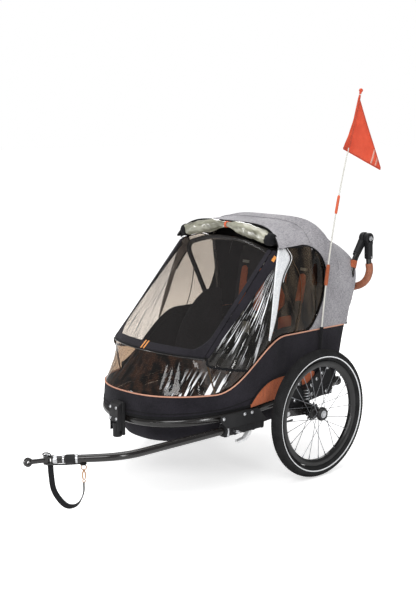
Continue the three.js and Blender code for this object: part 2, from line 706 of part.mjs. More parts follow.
function buildSuspension( word, side ) {

	const x = ( range ) => range.map( ( value ) => side * value );
	const outline = [
		[ - 150, 262 ], [ - 132, 242 ], [ - 108, 246 ], [ - 19, 264 ], [ 10, 278 ], [ 97, 288 ],
		[ 158, 288 ], [ 164, 330 ], [ 146, 412 ], [ 112, 412 ], [ 24, 352 ], [ - 14, 346 ],
		[ - 20, 372 ], [ - 48, 372 ], [ - 72, 308 ], [ - 146, 284 ],
	];
	const boltPlaces = [
		[ - 34, 358 ], [ - 58, 296 ], [ 130, 398 ], [ 98, 381 ],
		[ 66, 362 ], [ 36, 341 ], [ 123, 304 ], [ 39, 306 ],
	];
	const bolts = boltPlaces.map( ( [ y, z ] ) => rodX( x( [ 341, 345.5 ] ), y, z, 6.5, 6 ) );
	const shelf = block( sorted( x( [ 341, 373 ] ) ), [ SPRING.y - 15, SPRING.y + 15 ], [ 338, 343 ] );
	const pivotHole = rodX( x( [ 330, 350 ] ), ARM_PIVOT.y, ARM_PIVOT.z, 6.5 );
	const mountingPlate = cut( join( plate( x( PLATE_X ), outline ), shelf, ...bolts ), pivotHole );
	addPart( `suspension_plate_${ word }`, mountingPlate, MOULDED );

	const shank = rodX( x( [ 337, 374 ] ), ARM_PIVOT.y, ARM_PIVOT.z, 6 );
	const head = rodX( x( [ 373.6, 379 ] ), ARM_PIVOT.y, ARM_PIVOT.z, 10, 6 );
	addPart( `arm_pivot_bolt_${ word }`, join( shank, head ), STEEL );

	const middle = side * ( ARM_X[ 0 ] + ARM_X[ 1 ] ) / 2;
	const linkPath = [ V( middle, ARM_PIVOT.y, ARM_PIVOT.z ), V( middle, 0, TYRE_RADIUS ) ];
	const link = sweep( linkPath, oblong( 25, ARM_X[ 1 ] - ARM_X[ 0 ] ) );
	const springFoot = V( side * SPRING.x, SPRING.y, SPRING.z[ 0 ] - 0.6 );
	const seat = rod( springFoot.clone().setZ( 262 ), springFoot, 13.5, 14 );
	const bosses = [ rodX( x( ARM_X ), ARM_PIVOT.y, ARM_PIVOT.z, 17 ), rodX( x( ARM_X ), 0, TYRE_RADIUS, 20 ) ];
	const bores = [
		rodX( x( [ 340, 380 ] ), ARM_PIVOT.y, ARM_PIVOT.z, 6.6 ),
		rodX( x( [ 340, 380 ] ), 0, TYRE_RADIUS, AXLE_RADIUS + 0.6 ),
		rodX( x( [ 340, 380 ] ), - BRAKE_PIN_RADIUS, TYRE_RADIUS, 4, 10 ),
	];
	addPart( `swing_arm_${ word }`, cut( join( link, seat, ...bosses ), ...bores ), FRAME_PAINT );

	const [ low, high ] = SPRING.z;
	const coil = Array.from( { length: SPRING.turns * 9 + 1 }, ( _, i ) => {

		const angle = i / 9 * Math.PI * 2;
		const rise = low + SPRING.wire + ( high - low - 2 * SPRING.wire ) * i / ( SPRING.turns * 9 );
		const out = SPRING.x + SPRING.radius * Math.cos( angle );
		return V( side * out, SPRING.y + SPRING.radius * Math.sin( angle ), rise );

	} );
	addPart( `coil_spring_${ word }`, tube( coil, SPRING.wire, 4 ), STEEL );
	addPart( `brake_pin_${ word }`, rodX( x( [ 350, 377 ] ), - BRAKE_PIN_RADIUS, TYRE_RADIUS, 3.5, 10 ), STEEL );

}

function buildBrakePedal() {

	const outline = [ [ 232, 300 ], [ 246, 299 ], [ 296, 312 ], [ 295, 320 ], [ 244, 312 ], [ 231, 313 ] ];
	const bore = rodX( [ - 30, 30 ], 238, 306, 3.6, 8 );
	addPart( 'brake_pedal', cut( plate( [ - 20, 20 ], outline ), bore ), COPPER_FABRIC );

}

// ---------------------------------------------------------------- drawbar and hitch

const BAR_END = V( 171, - 1015, 227 );
const BAR_CORNER = V( DRAWBAR.x, - 862, DRAWBAR.z );
const hitchAxis = BAR_END.clone().sub( BAR_CORNER ).normalize();
const along = ( distance ) => BAR_END.clone().addScaledVector( hitchAxis, distance );
const FORK = along( 62 );
const LINK_EYE = V( 100, - 1118, 222 );

function buildReceiver() {

	const { x, y, z } = RECEIVER;
	const flangeOutline = [ [ - 407, 250 ], [ - 203, 250 ], [ - 250, 302 ], [ - 440, 302 ], [ - 440, 280 ] ];
	const flange = plate( [ 332.5, 336.5 ], flangeOutline );
	const bolts = [ - 320, - 282, - 426 ].map( ( place ) => rodX( [ 336, 340 ], place, 290, 6, 6 ) );
	const [ front, back ] = y.map( ( end ) => V( DRAWBAR.x, end, DRAWBAR.z ) );
	const bore = rod( front.setY( y[ 0 ] - 5 ), back.setY( y[ 1 ] + 5 ), DRAWBAR.radius + 0.9, 16 );
	const pinHole = rodX( [ 280, 345 ], LOCK_PIN_Y, DRAWBAR.z, 4.2, 10 );
	const body = cut( join( block( x, y, z ), flange, ...bolts ), bore, pinHole );
	addPart( 'drawbar_receiver', body, MOULDED );

	const ringWire = turnedRing( V( 353, LOCK_PIN_Y, DRAWBAR.z ), 10, 1.6 );
	addPart( 'lock_pin', join( rodX( [ 289, 344 ], LOCK_PIN_Y, DRAWBAR.z, 3.5, 10 ), ringWire ), STEEL );
	const leverOutline = [
		[ - 296, 188 ], [ - 272, 212 ], [ - 262, 212 ], [ - 262, 204 ],
		[ - 288, 178 ], [ - 330, 176 ], [ - 332, 183 ],
	];
	addPart( 'release_lever', plate( [ 296, 314 ], leverOutline ), STEEL );

}

// A wire ring lying in a horizontal plane.
function turnedRing( centre, radius, wire ) {

	const section = circle( wire, 6 ).map( ( p ) => new THREE.Vector2( radius + p.x, p.y ) );
	const ring = new THREE.LatheGeometry( closed( section ), 16 ).rotateX( Math.PI / 2 );
	return ring.translate( centre.x, centre.y, centre.z );

}

function buildDrawbar() {

	const path = rounded( [ V( DRAWBAR.x, - 215, DRAWBAR.z ), BAR_CORNER, BAR_END ], 80, 6 );
	const slotY = [ LOCK_PIN_Y - 5, LOCK_PIN_Y + DRAWBAR_TRAVEL + 5 ];
	const slot = block( [ 280, 330 ], slotY, [ DRAWBAR.z - 4.3, DRAWBAR.z + 4.3 ] );
	addPart( 'drawbar_tube', cut( tube( path, DRAWBAR.radius, 14 ), slot ), FRAME_PAINT );

	const forkPlate = ( z ) => join(
		sweep( [ along( 38 ).setZ( z ), FORK.clone().setZ( z ) ], oblong( 5, 24 ) ),
		rod( FORK.clone().setZ( z - 2.5 ), FORK.clone().setZ( z + 2.5 ), 12, 16 ),
	);
	const pinHole = rod( FORK.clone().setZ( 190 ), FORK.clone().setZ( 260 ), 4.5, 10 );
	const stem = rod( along( 0.5 ), along( 46 ), 13, 14 );
	const swivel = join( stem, forkPlate( FORK.z + 11 ), forkPlate( FORK.z - 11 ) );
	addPart( 'hitch_swivel', cut( swivel, pinHole ), FRAME_PAINT );

	const tongue = rod( FORK.clone().setZ( FORK.z - 8 ), FORK.clone().setZ( FORK.z + 8 ), 11, 16 );
	const arm = sweep( [ FORK.clone(), LINK_EYE.clone() ], oblong( 15, 12 ) );
	const eye = rodX( [ LINK_EYE.x - 6, LINK_EYE.x + 6 ], LINK_EYE.y, LINK_EYE.z, 16, 18 );
	const eyeHole = rodX( [ LINK_EYE.x - 20, LINK_EYE.x + 20 ], LINK_EYE.y, LINK_EYE.z, 5.5, 12 );
	addPart( 'axle_link', cut( join( tongue, arm, eye ), eyeHole, pinHole ), FRAME_PAINT );
	const pin = rod( FORK.clone().setZ( FORK.z - 18 ), FORK.clone().setZ( FORK.z + 20 ), 4, 10 );
	const pinHead = rod( FORK.clone().setZ( FORK.z + 14 ), FORK.clone().setZ( FORK.z + 20 ), 8, 12 );
	addPart( 'hitch_pin', join( pin, pinHead ), STEEL );

}

function buildStrap() {

	const corners = [
		V( 137, - 1052, 205 ), V( 138, - 1051, 176 ), V( 142, - 1046, 112 ), V( 170, - 1015, 56 ),
		V( 198, - 986, 62 ), V( 214, - 969, 104 ), V( 214, - 969, 144 ),
	];
	const width = V( 0.68, 0.73, 0 );
	addPart( 'safety_strap', sweep( rounded( corners, 30, 3 ), oblong( 20, 2.4 ), width ), WEBBING );

	const hook = Array.from( { length: 13 }, ( _, i ) => {

		const angle = ( i / 12 * 1.7 - 0.35 ) * Math.PI;
		return V( 214 + 5 * Math.cos( angle ), - 968, 170 + 17 * Math.sin( angle ) );

	} );
	const ring = turnedRing( V( 0, 0, 0 ), 10, 2 ).rotateX( Math.PI / 2 ).translate( 214, - 968, 199 );
	addPart( 'snap_hook', join( tube( hook, 2.6, 8 ), ring ), BRASS );

}

// ---------------------------------------------------------------- front bracket and flag

function buildFrontBracket() {

	const outline = [ [ - 639, 199 ], [ - 639, 334 ], [ - 652, 334 ], [ - 674, 318 ], [ - 674, 199 ] ];
	const socket = rod( V( 0, - 656, 190 ), V( 0, - 656, 300 ), 9, 14 );
	const bolt = ( x, z ) => rod( V( x, - 673, z ), V( x, - 678, z ), 5.5, 6 );
	const bolts = [ - 16, 16 ].flatMap( ( x ) => [ 228, 288 ].map( ( z ) => bolt( x, z ) ) );
	addPart( 'front_bracket', join( cut( plate( [ - 28, 28 ], outline ), socket ), ...bolts ), MOULDED );

}

// The flag pole's centre line: upright in its socket, leaning back more above its one long bend.
const [ FLAG_BASE, FLAG_CORNER, FLAG_TOP ] = [ FLAG.base, FLAG.corner, FLAG.top ]
	.map( ( [ y, z ] ) => V( FLAG.x, y, z ) );

function poleCurve() {

	const down = FLAG_BASE.clone().sub( FLAG_CORNER ).setLength( FLAG.bend ).add( FLAG_CORNER );
	const up = FLAG_TOP.clone().sub( FLAG_CORNER ).setLength( FLAG.bend ).add( FLAG_CORNER );
	const curve = new THREE.CurvePath();
	curve.add( new THREE.LineCurve3( FLAG_BASE, down ) );
	curve.add( new THREE.QuadraticBezierCurve3( down, FLAG_CORNER, up ) );
	curve.add( new THREE.LineCurve3( up, FLAG_TOP ) );
	return curve;

}

function buildFlag() {

	const curve = poleCurve();
	const onPole = ( share ) => curve.getPoint( share );
	const stretch = ( from, to, steps ) =>
		Array.from( { length: steps + 1 }, ( _, i ) => onPole( from + ( to - from ) * i / steps ) );
	const foot = FLAG_CORNER.clone().sub( FLAG_BASE ).normalize();
	const onFoot = ( distance ) => FLAG_BASE.clone().addScaledVector( foot, distance );
	const socket = cut( rod( onFoot( - 12 ), onFoot( 87 ), 6.5, 12 ), rod( onFoot( - 4 ), onFoot( 92 ), 4, 10 ) );
	addPart( 'flag_socket', socket, WEBBING );

	const wrap = tube( stretch( 0.245, 0.325, 2 ), 7.5, 10 );
	const lower = join( tube( stretch( 0, FLAG_JOINT - 0.001, 8 ), FLAG.radius, 8 ), wrap );
	addPart( 'flag_pole_lower', lower, FLAG_WHITE );
	const ferruleBore = tube( stretch( FLAG_JOINT - 0.05, FLAG_JOINT + 0.05, 4 ), FLAG.radius + 0.6, 8 );
	const ferrule = cut( tube( stretch( FLAG_JOINT - 0.035, FLAG_JOINT + 0.035, 4 ), 5.6, 12 ), ferruleBore );
	addPart( 'flag_ferrule', ferrule, FLAG_CLOTH );
	const cap = new THREE.SphereGeometry( 7, 10, 8 ).translate( ...FLAG_TOP.toArray() );
	const upper = tube( stretch( FLAG_JOINT + 0.001, 1, 8 ), FLAG.radius, 8 );
	addPart( 'flag_pole_upper', join( upper, cap ), FLAG_WHITE );

	const [ low, high ] = FLAG_HOIST.map( onPole );
	const outline = [ [ 200, 1254 ], [ 435, 1163 ], [ 281, 1412 ], [ high.y, high.z ] ];
	const cloth = plate( [ FLAG.x - 0.8, FLAG.x + 0.8 ], outline );
	const sleeveBore = rod( onPole( FLAG_HOIST[ 0 ] - 0.03 ), onPole( 1 ), FLAG.radius + 0.4, 8 );
	addPart( 'flag_pennant', cut( join( cloth, rod( low, high, 5, 10 ) ), sleeveBore ), FLAG_CLOTH );

}

// ---------------------------------------------------------------- assembly

buildChassis();
buildFloorTray();
buildSkirt();
buildFrontWindow();
buildSeatBase();
buildCanopy();
buildHoops();
buildHandle();
buildFrontCurtain();
buildSeatBack();
buildReceiver();
buildDrawbar();
buildStrap();
buildFrontBracket();
buildFlag();
buildBrakePedal();
for ( const { word, side } of SIDES ) {

	buildSideWindow( word, side );
	buildHarness( word, side );
	buildWheel( word, side );
	buildSuspension( word, side );

}

const object = new THREE.Group();
object.add( trailer );

export default object;
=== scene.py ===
"""Child bicycle trailer: the visual model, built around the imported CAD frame.

Shapes are worked out in millimetres with the origin on the ground under the axle, +X to the trailer's
left, -Y forward and +Z up. piece() turns them into the frame's metres. Places come from the CAD nodes'
boxes, and the outline formulas are those of the CAD body.
"""
import math

import bmesh
import bpy
import numpy as np
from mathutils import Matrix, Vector


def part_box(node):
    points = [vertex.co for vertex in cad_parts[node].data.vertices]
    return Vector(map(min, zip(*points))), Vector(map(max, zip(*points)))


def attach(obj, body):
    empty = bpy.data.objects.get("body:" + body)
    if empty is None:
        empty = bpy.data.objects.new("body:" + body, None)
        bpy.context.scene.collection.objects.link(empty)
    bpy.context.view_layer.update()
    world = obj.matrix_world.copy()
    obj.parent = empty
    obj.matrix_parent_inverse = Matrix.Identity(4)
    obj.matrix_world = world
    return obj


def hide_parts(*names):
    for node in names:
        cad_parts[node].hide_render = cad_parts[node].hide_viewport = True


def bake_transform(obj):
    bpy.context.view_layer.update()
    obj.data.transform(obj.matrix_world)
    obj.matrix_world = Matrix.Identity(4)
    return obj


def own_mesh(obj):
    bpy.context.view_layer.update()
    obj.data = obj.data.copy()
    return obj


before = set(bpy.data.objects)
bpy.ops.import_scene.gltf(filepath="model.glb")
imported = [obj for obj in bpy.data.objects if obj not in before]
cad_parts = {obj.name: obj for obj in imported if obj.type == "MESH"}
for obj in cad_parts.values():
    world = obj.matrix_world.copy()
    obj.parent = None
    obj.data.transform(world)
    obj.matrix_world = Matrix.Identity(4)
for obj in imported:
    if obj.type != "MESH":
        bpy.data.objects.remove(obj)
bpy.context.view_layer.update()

MM = 0.001
SIDES = (("left", 1), ("right", -1))


# ---------------------------------------------------------------- places taken from the frame

def metres_box(node):
    low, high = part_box(node)
    return np.array(low), np.array(high)


AXLE_Y = float(sum(box[1] for box in metres_box("hub_left")) / 2 / MM)


def span(node):
    """Lowest and highest corner of a CAD node, in millimetres from the axle."""
    low, high = metres_box(node)
    shift = np.array((0, AXLE_Y, 0))
    return low / MM - shift, high / MM - shift


def middle(node):
    low, high = span(node)
    return (low + high) / 2


TYRE_LOW, TYRE_HIGH = span("tyre_left")
WHEEL_X = middle("tyre_left")[0]
TYRE_RADIUS = (TYRE_HIGH[2] - TYRE_LOW[2]) / 2
TYRE_HALF_WIDTH = (TYRE_HIGH[0] - TYRE_LOW[0]) / 2
RIM_RADIUS = (span("rim_left")[1][2] - span("rim_left")[0][2]) / 2
RIM_INNER_RADIUS = 182
BRAKE_PIN_RADIUS = 33

RAIL_RADIUS = 17
RAIL_X = span("chassis_frame")[1][0] - RAIL_RADIUS
RAIL_SLOPE = 0.07
RAIL_BEND_Y = -150
RAIL_BEND_Z = 300
NOSE_LENGTH = 470
NOSE_POWER = 2.4
REAR_Y = 215

PIPING_FRONT_Z = 368
PIPING_REAR_Z = 552
PIPING_RISE_Y = (-420, -90)
HOOD_HALF_WIDTH = 320
HOOD_POWER = 4.5
HEM = {"x": 264, "y": -455, "z": 510, "bow": 72, "rise": 8}
HOOP_PIVOT = np.array((0, 158, 360))
ROLL = {"half_length": 256, "radius": 25, "y": -95, "z": 910, "crown": 36}
HANDLE = np.array((316, 396, 887))
SEAT_HINGE = np.array((0, 120, 410))
SEAT_LEAN = math.radians(10)
SPRING = {"x": 359, "y": -8, "low": 286, "high": 337, "radius": 11, "wire": 2.4, "turns": 4}
DRAWBAR = {"x": 305, "z": 235, "radius": 14}
BAR_CORNER = np.array((305, -862, 235))
BAR_END = np.array((171, -1015, 227))
HITCH_AXIS = (BAR_END - BAR_CORNER) / np.linalg.norm(BAR_END - BAR_CORNER)
FORK = BAR_END + 62 * HITCH_AXIS
LINK_EYE = np.array((100, -1118, 222))
FLAG_BASE = np.array((338, 87, 477))
FLAG_CORNER = np.array((338, 141, 947))
FLAG_TOP = np.array((338, 301, 1475))
FLAG_BEND = 300
X_AXIS, Y_AXIS, Z_AXIS = np.eye(3)


def in_frame(points):
    return (np.asarray(points, float) + (0, AXLE_Y, 0)) * MM


# ---------------------------------------------------------------- shape helpers
# A shape is a pair: an array of points and a list of faces.

def unit(vector):
    return vector / max(np.linalg.norm(vector), 1e-9)


def smoothstep(value, low, high):
    t = np.clip((value - low) / (high - low), 0, 1)
    return t * t * (3 - 2 * t)


def grid(rows, wrap=False, caps=False):
    """Quads over equal rows of points. wrap joins each row's ends, and caps close the first and last row."""
    rows = np.asarray(rows, float)
    count, width = rows.shape[:2]
    faces = []
    for i in range(count - 1):
        for j in range(width if wrap else width - 1):
            a = i * width + j
            b = i * width + (j + 1) % width
            faces.append((a, b, b + width, a + width))
    if caps:
        faces.append(tuple(reversed(range(width))))
        faces.append(tuple(range((count - 1) * width, count * width)))
    return rows.reshape(-1, 3), faces


def ring_grid(rows):
    """Quads over rows that each close on themselves, with the last row joined to the first."""
    rows = np.asarray(rows, float)
    return grid(np.concatenate([rows, rows[:1]]), wrap=True)


def rounded(corners, reach, steps=8):
    """A line through the corners with each inner corner rounded from `reach` before it."""
    corners = [np.asarray(c, float) for c in corners]
    path = [corners[0]]
    for before, corner, after in zip(corners, corners[1:], corners[2:]):
        back, ahead = before - corner, after - corner
        start = corner + unit(back) * min(reach, np.linalg.norm(back) * 0.45)
        end = corner + unit(ahead) * min(reach, np.linalg.norm(ahead) * 0.45)
        for i in range(steps + 1):
            t = i / steps
            path.append(start * (1 - t) ** 2 + corner * 2 * t * (1 - t) + end * t * t)
    path.append(corners[-1])
    return np.array(path)


def rounded_loop(corners, reach, steps=5):
    """A closed outline with every corner rounded."""
    start = (np.asarray(corners[-1], float) + np.asarray(corners[0], float)) / 2
    return rounded([start, *corners, start], reach, steps)[:-1]


def spline(points, steps=8):
    """A Catmull-Rom curve through the points."""
    points = np.asarray(points, float)
    padded = np.concatenate([[2 * points[0] - points[1]], points, [2 * points[-1] - points[-2]]])
    curve = []
    for a, b, c, d in zip(padded, padded[1:], padded[2:], padded[3:]):
        for i in range(steps):
            t = i / steps
            curve.append(0.5 * (2 * b + (c - a) * t + (2 * a - 5 * b + 4 * c - d) * t ** 2
                                + (3 * b - a - 3 * c + d) * t ** 3))
    curve.append(points[-1])
    return np.array(curve)


def resample(path, count):
    """The same line with `count` points at equal distances along it."""
    path = np.asarray(path, float)
    distance = np.concatenate([[0], np.cumsum(np.linalg.norm(np.diff(path, axis=0), axis=1))])
    wanted = np.linspace(0, distance[-1], count)
    return np.stack([np.interp(wanted, distance, path[:, k]) for k in range(path.shape[1])], axis=1)


def circle(radius, sides=20):
    angle = (np.arange(sides) + 0.5) / sides * 2 * math.pi
    return np.stack([radius * np.cos(angle), radius * np.sin(angle)], axis=1)


def pill(width, height, sides=16, power=5):
    """A rounded oblong section."""
    angle = (np.arange(sides) + 0.5) / sides * 2 * math.pi
    shape = [np.sign(f(angle)) * np.abs(f(angle)) ** (2 / power) for f in (np.cos, np.sin)]
    return np.stack([shape[0] * width / 2, shape[1] * height / 2], axis=1)


def sweep(path, section, up=Z_AXIS, scale=None, closed=False):
    """A section carried along a path. Its first axis starts along `up`, and `scale` resizes it by point."""
    path = np.asarray(path, float)
    count = len(path)
    normal = np.array(up, float)
    rows = []
    for i in range(count):
        ahead = path[(i + 1) % count] if closed else path[min(i + 1, count - 1)]
        behind = path[i - 1] if closed or i else path[0]
        along = unit(ahead - behind)
        if i == 0 and abs(normal @ along) > 0.9:
            normal = np.array((0.0, 1.0, 0.0)) if abs(along[1]) < 0.9 else np.array((1.0, 0.0, 0.0))
        normal = unit(normal - (normal @ along) * along)
        across = np.cross(along, normal)
        size = 1 if scale is None else scale[i]
        rows.append(path[i] + size * (section[:, :1] * normal + section[:, 1:] * across))
    return ring_grid(rows) if closed else grid(rows, wrap=True, caps=True)


def tube(path, radius, sides=20):
    return sweep(path, circle(radius, sides))


def rod(start, end, radius, sides=20):
    """A straight rod with softened rims."""
    start, end = np.asarray(start, float), np.asarray(end, float)
    soft = min(radius * 0.25, 1.5)
    axis = unit(end - start)
    path = [start, start + axis * soft, end - axis * soft, end]
    inset = (radius - soft * 0.8) / radius
    return sweep(path, circle(radius, sides), scale=[inset, 1, 1, inset])


def turned(profile, origin, axis, segments=48, closed=False):
    """A turned shape: the profile holds (radius, distance along the axis) pairs."""
    axis = unit(np.asarray(axis, float))
    side = unit(np.cross(axis, Z_AXIS if abs(axis[2]) < 0.9 else X_AXIS))
    other = np.cross(axis, side)
    angle = np.arange(segments) / segments * 2 * math.pi
    spin = np.cos(angle)[:, None] * side + np.sin(angle)[:, None] * other
    rows = [np.asarray(origin, float) + spin * r + axis * h for r, h in profile]
    return ring_grid(rows) if closed else grid(rows, wrap=True, caps=True)


def soft_profile(profile, reach, steps=3, closed=True):
    """A profile with its corners rounded."""
    flat = [np.array((r, h)) for r, h in profile]
    if not closed:
        return rounded(flat, reach, steps)
    start = (flat[-1] + flat[0]) / 2
    return rounded([start, *flat, start], reach, steps)[:-1]


def plate(outline, low, high):
    """An outline in [y, z], extruded along x from low to high."""
    outline = np.asarray(outline, float)
    rows = [[(x, y, z) for y, z in outline] for x in (low, high)]
    return grid(rows, wrap=True, caps=True)


def side_plate(outline, side, low, high):
    """An outline in [y, z] between two distances from the trailer's middle, on one side of it."""
    return plate(outline, *sorted((side * low, side * high)))


def merged(*shapes):
    points, faces, start = [], [], 0
    for verts, quads in shapes:
        points.append(verts)
        faces.extend(tuple(i + start for i in face) for face in quads)
        start += len(verts)
    return np.concatenate(points), faces


def bolt_head(place, axis, radius, height=4.0):
    """A domed head with a round recess for its socket."""
    profile = [(radius * 0.3, height * 0.45), (radius * 0.42, height * 0.45), (radius * 0.5, height),
               (radius * 0.78, height * 0.82), (radius, height * 0.35), (radius, 0), (radius * 0.3, 0)]
    return turned(profile, place, axis, 18)


# ---------------------------------------------------------------- pieces

def face_outward(data):
    mesh = bmesh.new()
    mesh.from_mesh(data)
    bmesh.ops.recalc_face_normals(mesh, faces=mesh.faces)
    mesh.to_mesh(data)
    mesh.free()


def mesh_object(name, shape, material):
    data = bpy.data.meshes.new(name)
    data.from_pydata(in_frame(shape[0]).tolist(), [], [list(face) for face in shape[1]])
    face_outward(data)
    data.materials.append(material)
    made = bpy.data.objects.new(name, data)
    bpy.context.scene.collection.objects.link(made)
    return made


def smooth(made):
    made.data.polygons.foreach_set("use_smooth", [True] * len(made.data.polygons))


def shade(made, angle=35):
    """Smooth shading with sharp edges where faces meet at more than the angle."""
    smooth(made)
    made.data.set_sharp_from_angle(angle=math.radians(angle))


def add_bevel(made, width, segments=2):
    modifier = made.modifiers.new("softened_edges", "BEVEL")
    modifier.width = width * MM
    modifier.segments = segments
    modifier.limit_method = "ANGLE"
    modifier.angle_limit = math.radians(30)
    modifier.harden_normals = False


def add_thickness(made, thickness, lining=None, offset=0.0):
    modifier = made.modifiers.new("thickness", "SOLIDIFY")
    modifier.thickness = thickness * MM
    modifier.offset = offset
    if lining:
        made.data.materials.append(lining)
        modifier.material_offset = 1


def add_subdivision(made, levels=1):
    modifier = made.modifiers.new("smooth_surface", "SUBSURF")
    modifier.levels = levels
    modifier.render_levels = levels


def bake_modifiers(made):
    """Replaces the object's mesh by its final shape, with no modifiers left."""
    graph = bpy.context.evaluated_depsgraph_get()
    final = bpy.data.meshes.new_from_object(made.evaluated_get(graph))
    made.modifiers.clear()
    made.data = final


def stand_in(made, body, replaces):
    """Puts a piece on its body and hides the CAD nodes that it stands for."""
    if body:
        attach(made, body)
    if replaces:
        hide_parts(*replaces)
    return made


def piece(name, body, shape, material, replaces=(), bevel=0, angle=35):
    """A finished rigid piece on a CAD body."""
    made = mesh_object(name, shape, material)
    shade(made, angle)
    if bevel:
        add_bevel(made, bevel)
    return stand_in(made, body, replaces)


def sheet(name, body, shape, material, thickness, replaces=(), lining=None, levels=1, offset=0.0):
    """A finished thin piece: a surface with thickness and a smooth final shape."""
    made = mesh_object(name, shape, material)
    smooth(made)
    add_thickness(made, thickness, lining, offset)
    if levels:
        add_subdivision(made, levels)
    return stand_in(made, body, replaces)


# ---------------------------------------------------------------- materials

WHITE = (1, 1, 1)
# GLINT is the white of the painted highlight streaks on the window films.
GLINT = (0.97, 0.98, 1.0)


class Surface:
    """A material under construction: a Principled shader fed by procedural nodes."""

    def __init__(self, name, colour, rough, metallic=0.0):
        self.material = bpy.data.materials.new(name)
        self.material.use_nodes = True
        self.material.diffuse_color = (*colour, 1)
        self.tree = self.material.node_tree
        self.shader = self.tree.nodes["Principled BSDF"]
        self.output = self.tree.nodes["Material Output"]
        self.place = self.node("TexCoord").outputs["Object"]
        self.set("Base Color", (*colour, 1))
        self.set("Roughness", rough)
        self.set("Metallic", metallic)

    def node(self, kind, inputs=None, **settings):
        made = self.tree.nodes.new("ShaderNode" + kind)
        for key, value in settings.items():
            setattr(made, key, value)
        for key, value in (inputs or {}).items():
            self.feed(made.inputs[key], value)
        return made

    def feed(self, socket, value):
        if isinstance(value, bpy.types.NodeSocket):
            self.tree.links.new(value, socket)
        else:
            socket.default_value = value

    def set(self, name, value):
        self.feed(self.shader.inputs[name], value)

    def scaled(self, stretch):
        return self.node("Mapping", {"Vector": self.place, "Scale": stretch}).outputs["Vector"]

    def noise(self, scale, detail=3.0, stretch=(1, 1, 1)):
        inputs = {"Vector": self.scaled(stretch), "Scale": scale, "Detail": detail}
        return self.node("TexNoise", inputs).outputs["Fac"]

    def ramp(self, value, low, high, at=(0.3, 0.7)):
        """Maps a 0..1 value to numbers or colours between low and high."""
        mixer = self.node("ValToRGB", {"Fac": value})
        for element, place, shade_value in zip(mixer.color_ramp.elements, at, (low, high)):
            element.position = place
            grey = not hasattr(shade_value, "__len__")
            element.color = (shade_value,) * 3 + (1,) if grey else (*shade_value, 1)
        return mixer.outputs["Color"]

    def once_per_sheet(self, shader):
        """Lets rays through the back faces, so that a sheet with two sides acts as one film."""
        behind = self.node("NewGeometry").outputs["Backfacing"]
        self.show(self.mixed(behind, shader, self.simple("Transparent", WHITE)))

    def show(self, shader):
        self.feed(self.output.inputs["Surface"], shader)

    def math(self, operation, first, second=0.0):
        return self.node("Math", {0: first, 1: second}, operation=operation).outputs[0]

    def axes(self):
        """The place as three separate numbers, in metres."""
        split = self.node("SeparateXYZ", {"Vector": self.place})
        return [split.outputs[name] for name in "XYZ"]

    def between(self, value, low, high):
        """Rises smoothly from 0 at `low` to 1 at `high`, which may be the smaller of the two."""
        inputs = {"Value": value, "From Min": low, "From Max": high}
        return self.node("MapRange", inputs, interpolation_type="SMOOTHSTEP").outputs["Result"]

    def product(self, *factors):
        total = factors[0]
        for factor in factors[1:]:
            total = self.math("MULTIPLY", total, factor)
        return total

    def weighted(self, first, first_share, second, second_share):
        """The sum of two values, each times its own share."""
        return self.math("ADD", self.product(first, first_share), self.product(second, second_share))

    def distance(self, first, second):
        """How far a point lies from the origin, from its two coordinates."""
        return self.math("SQRT", self.math("ADD", self.product(first, first), self.product(second, second)))

    def mixed(self, share, first, second):
        """One shader blended into another."""
        return self.node("MixShader", {0: share, 1: first, 2: second}).outputs[0]

    def simple(self, kind, colour, **inputs):
        """A plain shader of a kind, such as a diffuse or a transparent one."""
        return self.node("Bsdf" + kind, {"Color": (*colour, 1), **inputs}).outputs[0]

    def flat_noise(self, across, along, detail=2.0):
        """Noise over two numbers of the shader's own, for streaks that follow a chosen direction."""
        place = self.node("CombineXYZ", {"X": across, "Y": along, "Z": self.axes()[0]}).outputs["Vector"]
        return self.node("TexNoise", {"Vector": place, "Scale": 1.0, "Detail": detail}).outputs["Fac"]

    def ribs(self, pitch, direction, distortion=0.0):
        """Parallel ribs `pitch` millimetres apart along one axis of the frame."""
        scale = 1 / (pitch * MM) / 3.2
        inputs = {"Vector": self.place, "Scale": scale, "Distortion": distortion}
        return self.node("TexWave", inputs, bands_direction=direction).outputs["Fac"]

    def weave(self, pitch):
        """Crossed ribs, which read as a plain weave on a surface that faces any way."""
        crossed = self.product(self.ribs(pitch, "X"), self.ribs(pitch, "Z"))
        return self.math("ADD", crossed, self.ribs(pitch, "Y"))

    def bump(self, height, depth, strength=1.0, after=None):
        """Adds relief `depth` millimetres deep, on top of an earlier bump if one is given."""
        inputs = {"Height": height, "Distance": depth * MM, "Strength": strength}
        if after:
            inputs["Normal"] = after
        made = self.node("Bump", inputs).outputs["Normal"]
        self.set("Normal", made)
        return made

    def worn_edges(self, colour, edge_colour):
        """Lightens exposed edges, where paint and moulding rub."""
        exposed = self.node("NewGeometry").outputs["Pointiness"]
        patchy = self.product(self.ramp(exposed, 0.0, 1.0, (0.52, 0.62)), self.noise(60))
        made = self.node("Mix", data_type="RGBA")
        for socket, value in ((0, patchy), (6, (*colour, 1)), (7, (*edge_colour, 1))):
            self.feed(made.inputs[socket], value)
        self.set("Base Color", made.outputs[2])


def painted(name, colour, rough, coat=0.4):
    """Powder-coated tube: a faint orange peel under a clear gloss, rubbed lighter at the edges."""
    surface = Surface(name, colour, rough)
    surface.worn_edges(colour, tuple(min(1, c * 2 + 0.005) for c in colour))
    surface.set("Roughness", surface.ramp(surface.noise(35), rough * 0.75, rough * 1.3))
    surface.set("Coat Weight", coat)
    surface.set("Coat Roughness", 0.12)
    surface.bump(surface.noise(120, 2), 0.006)
    return surface.material


